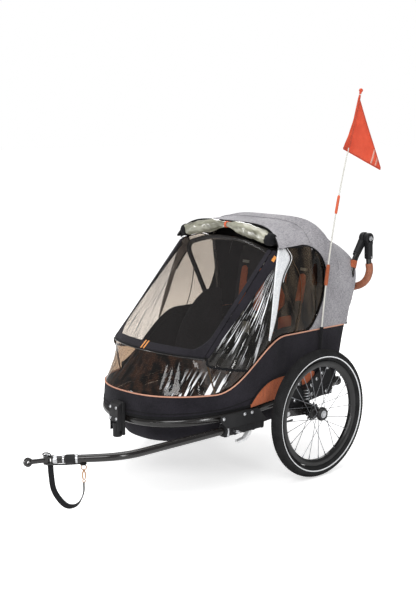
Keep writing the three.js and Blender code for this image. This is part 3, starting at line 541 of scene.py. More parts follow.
def moulded(name, colour, rough=0.5, grain=0.12):
    """Injection-moulded plastic with a fine spark-eroded grain."""
    surface = Surface(name, colour, rough)
    surface.worn_edges(colour, tuple(min(1, c * 1.8 + 0.006) for c in colour))
    surface.set("Roughness", surface.ramp(surface.noise(25), rough * 0.8, rough * 1.2))
    surface.set("Specular IOR Level", 0.28)
    surface.bump(surface.noise(1400, 2), grain)
    return surface.material


def metal(name, colour, rough=0.28, stretch=(1, 14, 14)):
    """Machined metal with fine tool marks and slight tarnish."""
    surface = Surface(name, colour, rough, 1.0)
    marks = surface.noise(420, 2, stretch)
    surface.set("Roughness", surface.ramp(marks, rough * 0.6, rough * 1.5))
    surface.set("Base Color", surface.ramp(surface.noise(90), tuple(c * 0.75 for c in colour), colour))
    surface.bump(marks, 0.03)
    return surface.material


def woven(name, dark, light, pitch=1.4, rough=0.92, sheen=0.25, mottle=0.35):
    """Woven polyester: two yarn shades mixed thread by thread, slow fading over it and a weave relief."""
    surface = Surface(name, light, rough)
    yarn_scale = 0.55 / (pitch * MM)
    warp = surface.noise(yarn_scale, 2, (0.35, 0.35, 2.2))
    weft = surface.noise(yarn_scale, 2, (2.2, 2.2, 0.35))
    yarn = surface.product(surface.math("ADD", warp, weft), 0.5)
    shade_of_yarn = surface.weighted(yarn, 1 - mottle, surface.noise(7, 4), mottle)
    surface.set("Base Color", surface.ramp(shade_of_yarn, dark, light, (0.38, 0.62)))
    surface.set("Sheen Weight", sheen)
    surface.set("Sheen Roughness", 0.6)
    surface.set("Specular IOR Level", 0.2)
    slack = surface.bump(surface.noise(16, 3), 1.6, 0.35)
    surface.bump(surface.weave(pitch), 0.28, 0.8, slack)
    return surface.material


def leather(name, dark, light):
    """Grained synthetic leather."""
    surface = Surface(name, light, 0.5)
    cells = surface.node("TexVoronoi", {"Vector": surface.place, "Scale": 420.0}).outputs["Distance"]
    surface.set("Base Color", surface.ramp(surface.noise(45), dark, light))
    surface.set("Roughness", surface.ramp(surface.noise(120), 0.42, 0.62))
    surface.bump(cells, 0.35, 0.7)
    return surface.material


def rubber(name, colour):
    surface = Surface(name, colour, 0.78)
    surface.set("Base Color", surface.ramp(surface.noise(28, 5), colour, tuple(c * 1.9 for c in colour)))
    surface.set("Roughness", surface.ramp(surface.noise(200), 0.66, 0.9))
    surface.set("Specular IOR Level", 0.2)
    surface.bump(surface.noise(900, 2), 0.1)
    return surface.material


FAN_HEAD = (0, -66, 874)


def fan_painted_glints(surface):
    """Painted highlights where the side film's creases would catch the light: white streaks fanning down
    from the strip's head.
    """
    _, y, z = surface.axes()
    _, head_y, head_z = (float(value) for value in in_frame(FAN_HEAD))
    back = surface.math("SUBTRACT", y, head_y)
    down = surface.math("SUBTRACT", head_z, z)
    angle = surface.math("ARCTAN2", back, down)
    reach = surface.distance(back, down)
    noise = surface.flat_noise(surface.product(angle, 84.0), surface.product(reach, 6.0))
    return surface.product(surface.between(noise, 0.585, 0.61), surface.between(angle, -0.97, -0.90),
                           surface.between(angle, -0.40, -0.46), surface.between(reach, 0.07, 0.14),
                           surface.between(reach, 0.50, 0.40))


def slanted_painted_glints(surface):
    """Painted highlights where the front film's creases would catch the light: white slanting streaks low on
    the trailer's left.
    """
    x, y, z = surface.axes()
    along_nose = surface.weighted(x, 0.68, surface.math("SUBTRACT", y, AXLE_Y * MM), 0.73)
    slant = surface.math("SUBTRACT", along_nose, surface.product(z, 0.55))
    noise = surface.flat_noise(surface.product(slant, 95.0), surface.product(z, 9.0))
    return surface.product(surface.between(noise, 0.54, 0.60), surface.between(along_nose, -0.31, -0.27),
                           surface.between(along_nose, -0.05, -0.09), surface.between(z, 0.475, 0.40))


def clear_film(name, tint, gloss, wrinkle, depth, smoke, streaks=None):
    """Tinted vinyl: see-through, faintly smoked in patches, with a wet reflection broken up by wrinkles.
    Where streaks is given, white highlight streaks are painted on.

    wrinkle is the (scale, stretch) of the creases and depth their height in millimetres. smoke is how much
    the film is clouded, the darkest and the lightest cloud, and the (scale, detail, stretch) of the clouds.
    The clouds are a diffuse haze: dark smoke, and on the front film their light copper-brown tone is a
    painted reflection.
    """
    surface = Surface(name, tint, 0.06)
    scale, stretch = wrinkle
    normal = surface.bump(surface.noise(scale, 4, stretch), depth, 1.0)
    shine = surface.simple("Glossy", WHITE, Roughness=0.08, Normal=normal)
    share, dark, light, pattern = smoke
    patches = surface.ramp(surface.noise(*pattern), dark, light, (0.42, 0.60))
    # Diffuse clouds: dark smoke, with a light tone that on the front film is a painted copper-brown
    # reflection.
    haze_and_painted_sheen = surface.node("BsdfDiffuse", {"Color": patches})
    clouded = surface.mixed(share, surface.simple("Transparent", tint), haze_and_painted_sheen.outputs[0])
    edge = surface.node("Fresnel", {"IOR": 1.5}).outputs[0]
    film = surface.mixed(surface.product(edge, gloss), clouded, shine)
    # Painted highlights: a white diffuse mixed in along the streaks mask, in place of creases catching the
    # light.
    if streaks:
        film = surface.mixed(surface.product(streaks(surface), 0.93), film,
                             surface.simple("Diffuse", GLINT))
    surface.once_per_sheet(film)
    return surface.material


def netting(name, colour, pitch=2.4, cover=0.20):
    """Insect netting: dark yarns `pitch` millimetres apart with real holes between them."""
    surface = Surface(name, colour, 0.9)
    across, along = (surface.math("GREATER_THAN", surface.ribs(pitch, axis), 1 - cover * 0.62)
                     for axis in "XZ")
    yarn = surface.math("MAXIMUM", across, along)
    surface.set("Base Color", surface.ramp(surface.noise(300), colour, tuple(c * 1.6 for c in colour)))
    surface.once_per_sheet(surface.mixed(yarn, surface.simple("Transparent", WHITE),
                                         surface.shader.outputs[0]))
    return surface.material


def rolled_vinyl(name, dark, light):
    """Several layers of clear film rolled together: milky olive with streaks along the roll."""
    surface = Surface(name, light, 0.22)
    streaks = surface.noise(38, 4, (0.25, 1.6, 1.6))
    patches = surface.noise(14, 3)
    cloudy = surface.weighted(streaks, 0.6, patches, 0.4)
    surface.set("Base Color", surface.ramp(cloudy, dark, light, (0.36, 0.64)))
    surface.set("Coat Weight", 0.7)
    surface.set("Coat Roughness", 0.08)
    surface.bump(streaks, 2.4, 0.8)
    return surface.material


def reflective(name):
    """Silver retro-reflective tape with its fine bead texture."""
    surface = Surface(name, (0.82, 0.84, 0.86), 0.35, 0.15)
    surface.set("Base Color", surface.ramp(surface.noise(240, 2), (0.62, 0.64, 0.66), (0.92, 0.93, 0.94)))
    surface.bump(surface.noise(900, 2), 0.08)
    return surface.material


def flag_cloth(name, dark, light):
    """Thin nylon that lets some light through."""
    surface = Surface(name, light, 0.6)
    surface.set("Base Color", surface.ramp(surface.noise(22, 3), dark, light))
    surface.set("Sheen Weight", 0.2)
    surface.bump(surface.weave(1.2), 0.12)
    surface.show(surface.mixed(0.3, surface.shader.outputs[0], surface.simple("Translucent", light)))
    return surface.material


PAINT = painted("gloss_black_paint", (0.0075, 0.0065, 0.006), 0.22)
PLASTIC = moulded("black_moulding", (0.011, 0.011, 0.012))
RIM_PAINT = painted("satin_rim_black", (0.006, 0.006, 0.0065), 0.34, 0.1)
STEEL = metal("machined_steel", (0.72, 0.73, 0.75))
ALUMINIUM = moulded("satin_aluminium", (0.56, 0.57, 0.58), 0.34, 0.03)
DARK_STEEL = metal("dark_spoke_steel", (0.34, 0.35, 0.37), 0.32)
BRASS = metal("brass", (0.62, 0.36, 0.20), 0.3)
TYRE_RUBBER = rubber("tyre_rubber", (0.0100, 0.0100, 0.0104))
CABLE_RUBBER = rubber("cable_rubber", (0.008, 0.008, 0.008))
NAVY_FABRIC = woven("navy_black_fabric", (0.0050, 0.0045, 0.0070), (0.0210, 0.0185, 0.0255), 1.8,
                    sheen=0.05, mottle=0.45)
BINDING = woven("black_binding", (0.003, 0.003, 0.0035), (0.009, 0.009, 0.011), 1.2, sheen=0.04)
LINING = woven("dark_lining", (0.004, 0.004, 0.005), (0.012, 0.012, 0.014), 1.6, sheen=0.04)
HOOD_FABRIC = woven("grey_melange_fabric", (0.155, 0.150, 0.165), (0.430, 0.418, 0.440), 2.0, sheen=0.12,
                    mottle=0.22)
COPPER_FABRIC = woven("copper_fabric", (0.24, 0.056, 0.022), (0.50, 0.140, 0.058), 1.6, sheen=0.1)
COPPER_PIPING = woven("copper_piping", (0.48, 0.22, 0.15), (0.74, 0.40, 0.28), 1.2, sheen=0.1)
SEAM_TAPE = woven("brown_seam_tape", (0.055, 0.036, 0.022), (0.115, 0.078, 0.050), 1.2, sheen=0.0)
SEAT_FABRIC = woven("charcoal_seat_fabric", (0.006, 0.006, 0.008), (0.024, 0.024, 0.028), 2.2, sheen=0.06)
WEBBING = woven("black_webbing", (0.005, 0.005, 0.006), (0.017, 0.017, 0.019), 1.6, sheen=0.04)
ORANGE_STITCH = woven("orange_stitching", (0.62, 0.20, 0.03), (0.90, 0.36, 0.06), 1.0)
LEATHER = leather("copper_leather", (0.23, 0.072, 0.034), (0.40, 0.145, 0.075))
GREY_PLASTIC = moulded("grey_buckle_plastic", (0.25, 0.26, 0.23), 0.4)
# The front film's light copper-brown clouds are a painted reflection; its dark clouds are smoke.
WINDOW_FILM = clear_film("smoked_window_film_with_painted_sheen", (0.70, 0.58, 0.47), 1.1, (9, (1, 1, 0.3)), 1.2,
                         (0.22, (0.005, 0.004, 0.003), (0.110, 0.050, 0.028),
                          (26, 3, (1.6, 1.6, 0.5))), slanted_painted_glints)
SIDE_FILM = clear_film("creased_side_film", (0.78, 0.70, 0.62), 1.0, (12, (1, 2.4, 0.16)), 3.0,
                       (0.06, (0.010, 0.008, 0.006), (0.10, 0.095, 0.075),
                        (30, 3, (1, 1.6, 0.3))), fan_painted_glints)
REAR_FILM = clear_film("smoked_rear_film", (0.76, 0.66, 0.56), 0.8, (7, (1, 1, 0.5)), 1.0,
                       (0.22, (0.005, 0.004, 0.003), (0.150, 0.110, 0.072), (17, 5, (1, 1.4, 0.45))))
NETTING = netting("insect_netting", (0.012, 0.010, 0.010))
ROLL_FILM = rolled_vinyl("rolled_rain_cover", (0.115, 0.112, 0.080), (0.42, 0.415, 0.330))
TAPE = reflective("reflective_tape")
FLAG_CLOTH = flag_cloth("flag_orange", (0.72, 0.075, 0.022), (0.92, 0.135, 0.050))
FLAG_HEM = flag_cloth("flag_hem_orange", (0.56, 0.060, 0.02), (0.78, 0.105, 0.04))
FLAG_STRIPE = flag_cloth("flag_stripe", (0.88, 0.30, 0.20), (0.98, 0.62, 0.52))
FIBREGLASS = painted("white_fibreglass", (0.60, 0.59, 0.54), 0.3)
COPPER_PLASTIC = moulded("copper_plastic", (0.60, 0.105, 0.040), 0.42)


# ---------------------------------------------------------------- outlines of the body

def rail_z(y):
    return RAIL_BEND_Z + RAIL_SLOPE * (y - RAIL_BEND_Y)


def piping_z(y):
    """Height of the copper piping where the tub's fabric ends."""
    return PIPING_FRONT_Z + (PIPING_REAR_Z - PIPING_FRONT_Z) * smoothstep(y, *PIPING_RISE_Y)


def nose_point(turn, offset):
    """The nose in plan, a superellipse from the left rail round to the right one, turn 0..1."""
    cosine, sine = math.cos(turn * math.pi), max(0.0, math.sin(turn * math.pi))
    x = (RAIL_X + offset) * math.copysign(abs(cosine) ** (2 / NOSE_POWER), cosine)
    return np.array((x, RAIL_BEND_Y - (NOSE_LENGTH + offset) * sine ** (2 / NOSE_POWER), 0))


def nose_turn(y):
    """The turn at which the nose outline passes a given y on the left side."""
    return math.asin(((RAIL_BEND_Y - y) / NOSE_LENGTH) ** (NOSE_POWER / 2)) / math.pi


def body_ring(offset, rear_y, height, nose_steps=72, side_steps=44):
    """The whole body in plan at an offset from the rails, with rounded rear corners."""
    x = RAIL_X + offset
    corner = rounded([(0, rear_y, 0), (x, rear_y, 0), (x, RAIL_BEND_Y, 0)], 26, 6)
    rear = resample(corner[:2], 14)[:-1]
    side = resample(corner[-2:], side_steps)[:-1]
    half = np.concatenate([rear, corner[1:-2], side])
    nose = np.array([nose_point(i / nose_steps, offset) for i in range(nose_steps + 1)])
    ring = np.concatenate([half, nose, half[:0:-1] * (-1, 1, 1)])
    ring[:, 2] = [height(y) for y in ring[:, 1]]
    return ring


def hem_point(u):
    """The hem where the front window meets the insect net."""
    bow = 1 - u * u
    return np.array((HEM["x"] * u, HEM["y"] - HEM["bow"] * bow, HEM["z"] + HEM["rise"] * bow))


def side_wall_x(y, z):
    """Half width of the side wall at a place on it."""
    low = nose_point(nose_turn(max(y, -450)), 6)[0] if y < RAIL_BEND_Y else RAIL_X + 6
    strip_z = min(890, HEM["z"] + (y - HEM["y"]) * 1.03)
    share = np.clip((z - piping_z(y)) / max(20, strip_z - piping_z(y)), 0, 1)
    high = HEM["x"] + 8 if y < -90 else HEM["x"] + 8 + 26 * smoothstep(y, -90, 60)
    return low - 4 + (high - low + 4) * share ** 1.6


# ---------------------------------------------------------------- chassis and tub

def build_rails():
    ends = [(RAIL_X, REAR_Y, 0), (RAIL_X, RAIL_BEND_Y + 2, 0)]
    nose = [nose_point(i / 90, 0) for i in range(91)]
    path = np.array([*resample(ends, 20), *nose, *(resample(ends, 20) * (-1, 1, 1))[::-1]])
    path[:, 2] = rail_z(path[:, 1])
    shapes = [tube(path, RAIL_RADIUS, 24)]
    for y, radius in ((REAR_Y, 14), (-175, 12), (60, 12)):
        shapes.append(rod((-RAIL_X, y, rail_z(y)), (RAIL_X, y, rail_z(y)), radius, 24))
    _, pivot_y, pivot_z = HOOP_PIVOT
    base = rail_z(pivot_y) + 2
    for _, side in SIDES:
        cheek = [(pivot_y - 18, base), (pivot_y + 18, base), (pivot_y + 14, pivot_z + 14),
                 (pivot_y - 14, pivot_z + 14)]
        inner = [*cheek[:3], (SEAT_HINGE[1] + 8, SEAT_HINGE[2] + 10),
                 (SEAT_HINGE[1] - 10, SEAT_HINGE[2] + 8),
                 (SEAT_HINGE[1] - 10, SEAT_HINGE[2] - 8)]
        shelf = [(pivot_y - 18, base), (pivot_y + 18, base), (pivot_y + 18, base + 12),
                 (pivot_y - 18, base + 12)]
        shapes.append(side_plate(shelf, side, 234, RAIL_X))
        shapes.append(side_plate(cheek, side, 316, 319.5))
        shapes.append(side_plate(inner, side, 234, 237.5))
        shapes.append(rod((side * 235, pivot_y, pivot_z), (side * 318, pivot_y, pivot_z), 5))
        shapes.append(rod((side * 200, *SEAT_HINGE[1:]), (side * 235, *SEAT_HINGE[1:]), 5))
        ear = [(205, 318), (228, 318), (245, 308), (240, 299), (225, 302)]
        shapes.append(side_plate(ear, side, 24, 28))
        shapes.append(turned([(18.4, -6), (19, -5), (19, 5), (17.2, 9), (8, 11)],
                             (side * RAIL_X, REAR_Y, rail_z(REAR_Y)), (0, 1, RAIL_SLOPE), 24))
    shapes.append(rod((-26, 238, 306), (26, 238, 306), 3))
    piece("rail_loop", "chassis", merged(*shapes), PAINT, ["chassis_frame"], bevel=1.2)


def build_floor():
    """The floor tray: a ribbed pan with a flange under the rails."""
    def ring(offset, drop):
        return body_ring(offset, 190 + offset, lambda y: rail_z(y) - drop, 56, 30)

    levels = [(0, 18.8), (0, 22.4), (-48, 23.5), (-51, 30), (-56, 60), (-62, 84), (-70, 96), (-84, 100)]
    rows = [ring(offset, drop) for offset, drop in levels]
    inside = ((-88, 97), (-74, 92), (-60, 58), (-54, 22), (-50, 18.8))
    inner = [ring(offset, drop) for offset, drop in inside]
    shell = ring_grid(rows + inner)
    under = ring(-84, 100)
    over = ring(-88, 97)
    floor = (np.concatenate([under, over]),
             [tuple(range(len(under))), tuple(reversed(range(len(under), 2 * len(under))))])
    ribs = []
    for x in (-150, -75, 0, 75, 150):
        line = [(x, -440, rail_z(-440) - 100), (x, 130, rail_z(130) - 100)]
        ribs.append(sweep(line, pill(7, 16), up=Z_AXIS))
    piece("floor_pan", "chassis", merged(shell, floor, *ribs), NAVY_FABRIC, ["floor_tray"],
          bevel=1)


def fold_relief(ring, depth, phase):
    """Soft upright folds round the tub, strongest beside the wheels and gone at the nose."""
    y, x = ring[:, 1], ring[:, 0]
    strength = smoothstep(y, -330, -120) * (1 - 0.5 * smoothstep(y, 120, 220))
    wave = np.sin(y / 19 + phase * 1.4 + np.sign(x)) + 0.6 * np.sin(y / 8.3 - phase * 2.1)
    return depth * strength * (wave - 1.4) * 0.5


def build_skirt():
    bottom = body_ring(8, REAR_Y - 10, lambda y: rail_z(y) + 18)
    top = body_ring(3, REAR_Y + 44, piping_z)
    centre = np.array((0, -60, 0))
    rows = []
    for share in np.linspace(0, 1, 15):
        ring = bottom * (1 - share) + top * share
        outward = (ring - centre) * (1, 1, 0)
        outward /= np.linalg.norm(outward, axis=1)[:, None]
        push = 3.2 + fold_relief(ring, 2.6 * math.sin(share * math.pi) ** 0.5, share * 3)
        rows.append(ring + outward * np.asarray(push)[:, None])
    shape = grid(rows, wrap=True)
    sheet("tub_fabric", "chassis", shape, NAVY_FABRIC, 2.2, ["lower_skirt"], LINING)
    edge = rows[-1].copy()
    edge[:, 2] += 1.5
    piping = sweep(edge, circle(2.6, 10), closed=True)
    piece("tub_piping", "chassis", piping, COPPER_PIPING)
    hem = rows[0].copy()
    hem[:, 2] += 2
    piece("tub_hem", "chassis", sweep(hem, pill(11, 4.5, 12), closed=True), BINDING)
    piece("tub_seam", "chassis", sweep(rows[3], pill(3.5, 5.4, 10), closed=True), BINDING)


def pleat(share, count, depth):
    return depth * abs(math.sin(share * count * math.pi)) ** 0.7


def build_side_pockets():
    """Copper pleated panels on the tub's sides, under an arch in front of each wheel."""
    arch = spline([(-285, 319), (-252, 352), (-205, 383), (-150, 398), (-60, 402), (30, 400), (66, 392)],
                  10)
    for word, side in SIDES:
        rows = []
        for share_up in np.linspace(0, 1, 12):
            row = []
            for i, (y, top) in enumerate(resample(arch, 90)):
                base = rail_z(y) + 16
                z = base + (top - base) * share_up
                bulge = 2.2 * math.sin(share_up * math.pi)
                relief = bulge + pleat(i / 89, 17, 2.0) * (0.4 + 0.6 * share_up)
                row.append((side * (RAIL_X + 12.4 + relief), y, z))
            rows.append(row)
        sheet(f"copper_pocket_{word}", "chassis", grid(rows), COPPER_FABRIC, 1.6)
        edge = [(side * (RAIL_X + 14.2), y, z + 1) for y, z in resample(arch, 60)]
        piece(f"pocket_binding_{word}", "chassis", sweep(edge, pill(5, 4, 10)), BINDING)


def build_front_window():
    """Clear film from the piping up to the hem, with slanting creases."""
    steps = 120
    start = nose_turn(-421)
    rows = []
    for height in np.linspace(0, 1, 16):
        row = []
        for i in range(steps + 1):
            share = i / steps
            low = nose_point(start + (1 - 2 * start) * share, 3)
            low[2] = piping_z(low[1]) + 3.5
            high = hem_point(1 - 2 * share)
            point = low * (1 - height) + high * height
            slant = share * 150 + height * 7
            crease = math.sin(slant) + 0.7 * math.sin(slant * 0.47 + 2) * math.sin(share * 19)
            room = math.sin(height * math.pi)
            out = unit(np.array((point[0], point[1] + 150, 0)))
            row.append(point + out * crease * room * 1.3)
        rows.append(row)
    sheet("front_film", "chassis", grid(rows), WINDOW_FILM, 1.0, ["front_window"])
    cord = [hem_point(u) + np.array((0, -2.5, -7)) for u in np.linspace(-1, 1, 90)]
    piece("front_film_cord", "chassis", sweep(cord, circle(3.4, 12)), PAINT)
    tape = [hem_point(u) + np.array((0, -1.5, -1)) for u in np.linspace(-1, 1, 90)]
    piece("front_film_tape", "chassis", sweep(tape, pill(9, 3, 12)), BINDING)


CUSHION_CELL = 12
CUSHION_LAYERS = 4
SEAM_DEPTH = 5
CLOTH_FRAMES = 20
CLOTH_STIFFNESS = 20


def cushion(name, body, place, size, channels, replaces, cap):
    """A padded cushion: a closed quilted form blown up by a cloth simulation between its sewn channels.

    place(u, v, w) gives the point across, along and out of the cushion. channels holds ("u" or "v", value)
    lines that stay sewn down, and no point moves further than cap millimetres.
    """
    shape, pins = quilted_form(place, size, channels)
    made = mesh_object(name, shape, SEAT_FABRIC)
    smooth(made)
    inflate(made, pins, cap)
    add_subdivision(made, 2)
    return stand_in(made, body, replaces)


def quilted_form(place, size, channels):
    """A cushion's form before it swells, and the numbers of the points that stay where they are."""
    width, length, _ = size
    across = np.linspace(-0.5, 0.5, int(width / CUSHION_CELL) + 1)
    along = np.linspace(0, 1, int(length / CUSHION_CELL) + 1)
    layers = np.linspace(0, 1, CUSHION_LAYERS)
    top = CUSHION_LAYERS - 1
    points, index = [], {}

    def vertex(i, j, k):
        if (i, j, k) not in index:
            index[i, j, k] = len(points)
            points.append(cushion_point(place, size, across[i], along[j], layers[k]))
        return index[i, j, k]

    def is_sewn(i, j):
        places = {"u": across[i] * width, "v": along[j] * length}
        return any(abs(places[axis] - value) < CUSHION_CELL * 0.51 for axis, value in channels)

    faces = [[vertex(*corner) for corner in face]
             for face in box_faces(len(across) - 1, len(along) - 1, top)]
    seams = [n for (i, j, k), n in index.items() if k == top and is_sewn(i, j)]
    points = np.array(points)
    points[seams] += place(0, 0, 0) - place(0, 0, SEAM_DEPTH)
    bottom = [n for (_, _, k), n in index.items() if k == 0]
    return (points, faces), sorted(bottom + seams)


def cushion_point(place, size, u, v, w):
    """A point of the form: its corners pull in and its rim is thinner than its middle."""
    width, length, depth = size
    pull = 1 - 0.10 * (abs(2 * u) ** 8) * (abs(2 * v - 1) ** 8)
    rim = (1 - abs(2 * u) ** 10) * (1 - abs(2 * v - 1) ** 10)
    out = depth * (0.5 + (w - 0.5) * (0.45 + 0.55 * rim))
    return place(u * width * pull, (0.5 + (v - 0.5) * pull) * length, out)


def box_faces(last_i, last_j, last_k):
    """The quads on the six sides of a block of cells, as (i, j, k) corners."""
    for k in (0, last_k):
        for i in range(last_i):
            for j in range(last_j):
                yield (i, j, k), (i + 1, j, k), (i + 1, j + 1, k), (i, j + 1, k)
    for k in range(last_k):
        for i in range(last_i):
            for j in (0, last_j):
                yield (i, j, k), (i + 1, j, k), (i + 1, j, k + 1), (i, j, k + 1)
        for j in range(last_j):
            for i in (0, last_i):
                yield (i, j, k), (i, j + 1, k), (i, j + 1, k + 1), (i, j, k + 1)


def inflate(made, pins, cap):
    """Runs the cloth simulation with inside pressure, applies it, and caps how far a point has moved."""
    rest = np.array([v.co for v in made.data.vertices])
    sewn = made.vertex_groups.new(name="sewn")
    sewn.add(pins, 1.0, "REPLACE")
    cloth = add_cloth(made)
    for frame_number in range(1, CLOTH_FRAMES + 1):
        bpy.context.scene.frame_set(frame_number)
    graph = bpy.context.evaluated_depsgraph_get()
    moved = np.array([v.co for v in made.evaluated_get(graph).data.vertices])
    made.modifiers.remove(cloth)
    made.vertex_groups.remove(sewn)
    shift = moved - rest
    size = np.linalg.norm(shift, axis=1)
    factor = np.minimum(1, cap * MM / np.maximum(size, 1e-9))
    made.data.vertices.foreach_set("co", (rest + shift * factor[:, None]).ravel())
    made.data.update()
    bpy.context.scene.frame_set(1)


def add_cloth(made):
    cloth = made.modifiers.new("cloth", "CLOTH")
    cloth.settings.quality = 5
    cloth.settings.vertex_group_mass = "sewn"
    cloth.settings.use_pressure = True
    cloth.settings.uniform_pressure_force = 4
    cloth.settings.effector_weights.gravity = 0
    cloth.settings.tension_stiffness = CLOTH_STIFFNESS
    cloth.settings.compression_stiffness = CLOTH_STIFFNESS
    cloth.collision_settings.use_collision = False
    cloth.point_cache.frame_start = 1
    cloth.point_cache.frame_end = CLOTH_FRAMES
    return cloth


def seat_point(x, up, out):
    """A point of the leaning seat back: across, up along it, and out from its front face."""
    y = SEAT_HINGE[1] + up * math.sin(SEAT_LEAN) - out * math.cos(SEAT_LEAN)
    z = SEAT_HINGE[2] + up * math.cos(SEAT_LEAN) + out * math.sin(SEAT_LEAN)
    return np.array((x, y, z))


def build_seats():
    def on_base(u, v, w):
        return np.array((u, -180 + v, 350 + w - 0.03 * v))

    def on_back(u, v, w):
        return seat_point(u, 16 + v, w - 24)

    cushion("seat_cushion", "chassis", on_base, (456, 272, 34), [("u", 0), ("v", 90), ("v", 180)],
            ["seat_base"], cap=9)
    cushion("seat_back_cushion", "seat_back", on_back, (452, 412, 20), [("u", 0), ("v", 130), ("v", 270)],
            ["seat_back"], cap=8)
    points, faces = plate([(-27, 6), (-27, 424), (-24, 428), (-21, 424), (-21, 6)], -222, 222)
    leaning = np.array([seat_point(x, up, out) for x, out, up in points])
    piece("seat_back_board", "seat_back", (leaning, faces), PLASTIC, bevel=1)
    sleeve = rod((-216, *SEAT_HINGE[1:]), (216, *SEAT_HINGE[1:]), 9.5)
    piece("seat_hinge_sleeve", "seat_back", sleeve, LINING)
    build_seat_wings()
    for word, side in SIDES:
        build_harness(word, side * 114)


def build_seat_wings():
    """Padded side panels between the seat and the hoops, each with two copper pads."""
    reach = 333
    arc = [(HOOP_PIVOT[1] - reach * math.cos(a), HOOP_PIVOT[2] + reach * math.sin(a))
           for a in np.linspace(0.22, 1.1, 14)]
    outline = [(95, 404), (-150, 404), *arc, (95, arc[-1][1])]
    bands = ((-100, -58), (-48, 22))
    for word, side in SIDES:
        panel = side_plate(rounded_loop(outline, 22), side, 230.5, 236.5)
        piece(f"seat_wing_{word}", "chassis", panel, SEAT_FABRIC, bevel=1.8)
        pads = []
        for low, high in bands:
            top = HOOP_PIVOT[2] + math.sqrt((reach - 12) ** 2 - (HOOP_PIVOT[1] - low) ** 2)
            pad = rounded_loop([(low, 470), (high, 470), (high + 8, top), (low + 4, top)], 14)
            pads.append(side_plate(pad, side, 236.2, 238.8))
        piece(f"seat_wing_pads_{word}", "chassis", merged(*pads), COPPER_FABRIC, bevel=1.1)


def build_harness(word, centre):
    """Two shoulder straps with copper pads, sliders, loops and a grey buckle, for one child."""
    def line(points, out):
        return spline([seat_point(centre + x, up, out) for x, up in points], 10)

    webs, pads = [], []
    for hand in (-1, 1):
        web = line([(hand * 52, 372), (hand * 52, 300), (hand * 48, 200), (hand * 34, 130),
                    (hand * 12, 88)], 7)
        webs.append(sweep(web, pill(24, 2.4), up=X_AXIS))
        pad = line([(hand * 53, 342), (hand * 52, 270), (hand * 48, 205), (hand * 41, 160)], 8)
        swell = [0.86 + 0.14 * math.sin(k / len(pad) * math.pi) for k in range(1, len(pad) - 1)]
        width = [0.35, *swell, 0.35]
        pads.append(sweep(pad, pill(38, 9), up=X_AXIS, scale=width))
    piece(f"harness_webbing_{word}", "seat_back", merged(*webs), WEBBING, [f"harness_{word}"])
    piece(f"harness_pads_{word}", "seat_back", merged(*pads), COPPER_FABRIC)
    sliders = [sweep([seat_point(centre + hand * 44, 148, 8), seat_point(centre + hand * 41, 132, 8)],
                     pill(34, 9), up=X_AXIS) for hand in (-1, 1)]
    loops = [sweep([seat_point(centre + hand * 53, 354, 7), seat_point(centre + hand * 53, 366, 7)],
                   pill(36, 9), up=X_AXIS) for hand in (-1, 1)]
    body = sweep([seat_point(centre, up, 7) for up in (62, 66, 104, 108)], pill(46, 13), up=X_AXIS,
                 scale=[0.86, 1, 1, 0.86])
    button = sweep([seat_point(centre, up, 12) for up in (74, 96)], pill(20, 7), up=X_AXIS)
    piece(f"harness_buckles_{word}", "seat_back", merged(body, button, *sliders, *loops), GREY_PLASTIC,
          bevel=1)


# ---------------------------------------------------------------- hood, windows and curtain

HOOD_STATIONS = ((-79, 964, -210), (-64, 960, -64), (-20, 967, -20), (60, 969, 60), (145, 978, 130),
                 (185, 960, 174),
                 (222, 920, 206), (272, 893, 224), (322, 866, 231), (372, 824, 235), (362, 780, 239),
                 (326, 708, 245), (295, 623, 253), (274, 562, 258))
HOOD_FOOT_Z = PIPING_REAR_Z + 2
WINDOW_ARCH = np.array(((56, PIPING_REAR_Z + 14), (175, 690), (175, 880), (30, 889)))
SEAM_TURNS = (("bow", 19, 0.17, 0.83), ("rear", 36, 0.10, 0.90), ("tail", 63, 0.03, 0.97))
POCKET_FIRST_STATION = 56
POCKET_STATIONS = 18
POCKET_HALF_WIDTH = 0.62


def hood_point(station, turn, lift=0.0):
    top_y, top_z, foot_y = station
    cosine, sine = math.cos(turn * math.pi), max(0.0, math.sin(turn * math.pi))
    x = (HOOD_HALF_WIDTH + lift) * math.copysign(abs(cosine) ** (2 / HOOD_POWER), cosine)
    rise = sine ** (2 / HOOD_POWER)
    return np.array((x, foot_y + (top_y - foot_y) * rise,
                     HOOD_FOOT_Z + (top_z + lift - HOOD_FOOT_Z) * rise))


def hood_turns(count):
    """Turns spaced so that the tight corners of the section get as many points as its flat parts."""
    return [(1 - math.cos(k / count * math.pi)) / 2 * 0.35 + k / count * 0.65 for k in range(count + 1)]


def fan_fold(made):
    """Puts a piece of the hood on the roof bow's body and gives it a mesh of its own."""
    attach(made, "roof_bow")
    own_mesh(made)


def hood_trim(name, shape, material):
    """A seam, edge or fitting sewn to the hood, which rides on the roof bow with it."""
    fan_fold(piece(name, None, shape, material))


def hood_sheet(name, shape, material, thickness, replaces=(), lining=None, levels=0):
    """A sheet sewn to the hood, which rides on the roof bow with it."""
    made = sheet(name, None, shape, material, thickness, replaces, lining, levels)
    bake_modifiers(made)
    fan_fold(made)


def window_outline(margin):
    """A side window in [y, z], shrunk by a margin: along the piping, up the arch, and down the front."""
    piping = [(y, piping_z(y) + 3 + margin) for y in np.linspace(-360, 20, 30)]
    a, b, c, d = WINDOW_ARCH - margin * np.array(((1, 0), (1, 0), (1, 1), (0, 1)))
    arch = []
    for t in np.linspace(0, 1, 26):
        arch.append(a * (1 - t) ** 3 + b * 3 * t * (1 - t) ** 2 + c * 3 * t * t * (1 - t) + d * t ** 3)
    front = [(-70, 884 - margin), (-96, 872 - margin), (-452 + margin, 508 - margin)]
    lower = [(-420 + margin, PIPING_FRONT_Z + 4 + margin), *piping,
             (42 - margin, PIPING_REAR_Z + 4 + margin)]
    return np.array(lower), np.array(arch), np.array(front)


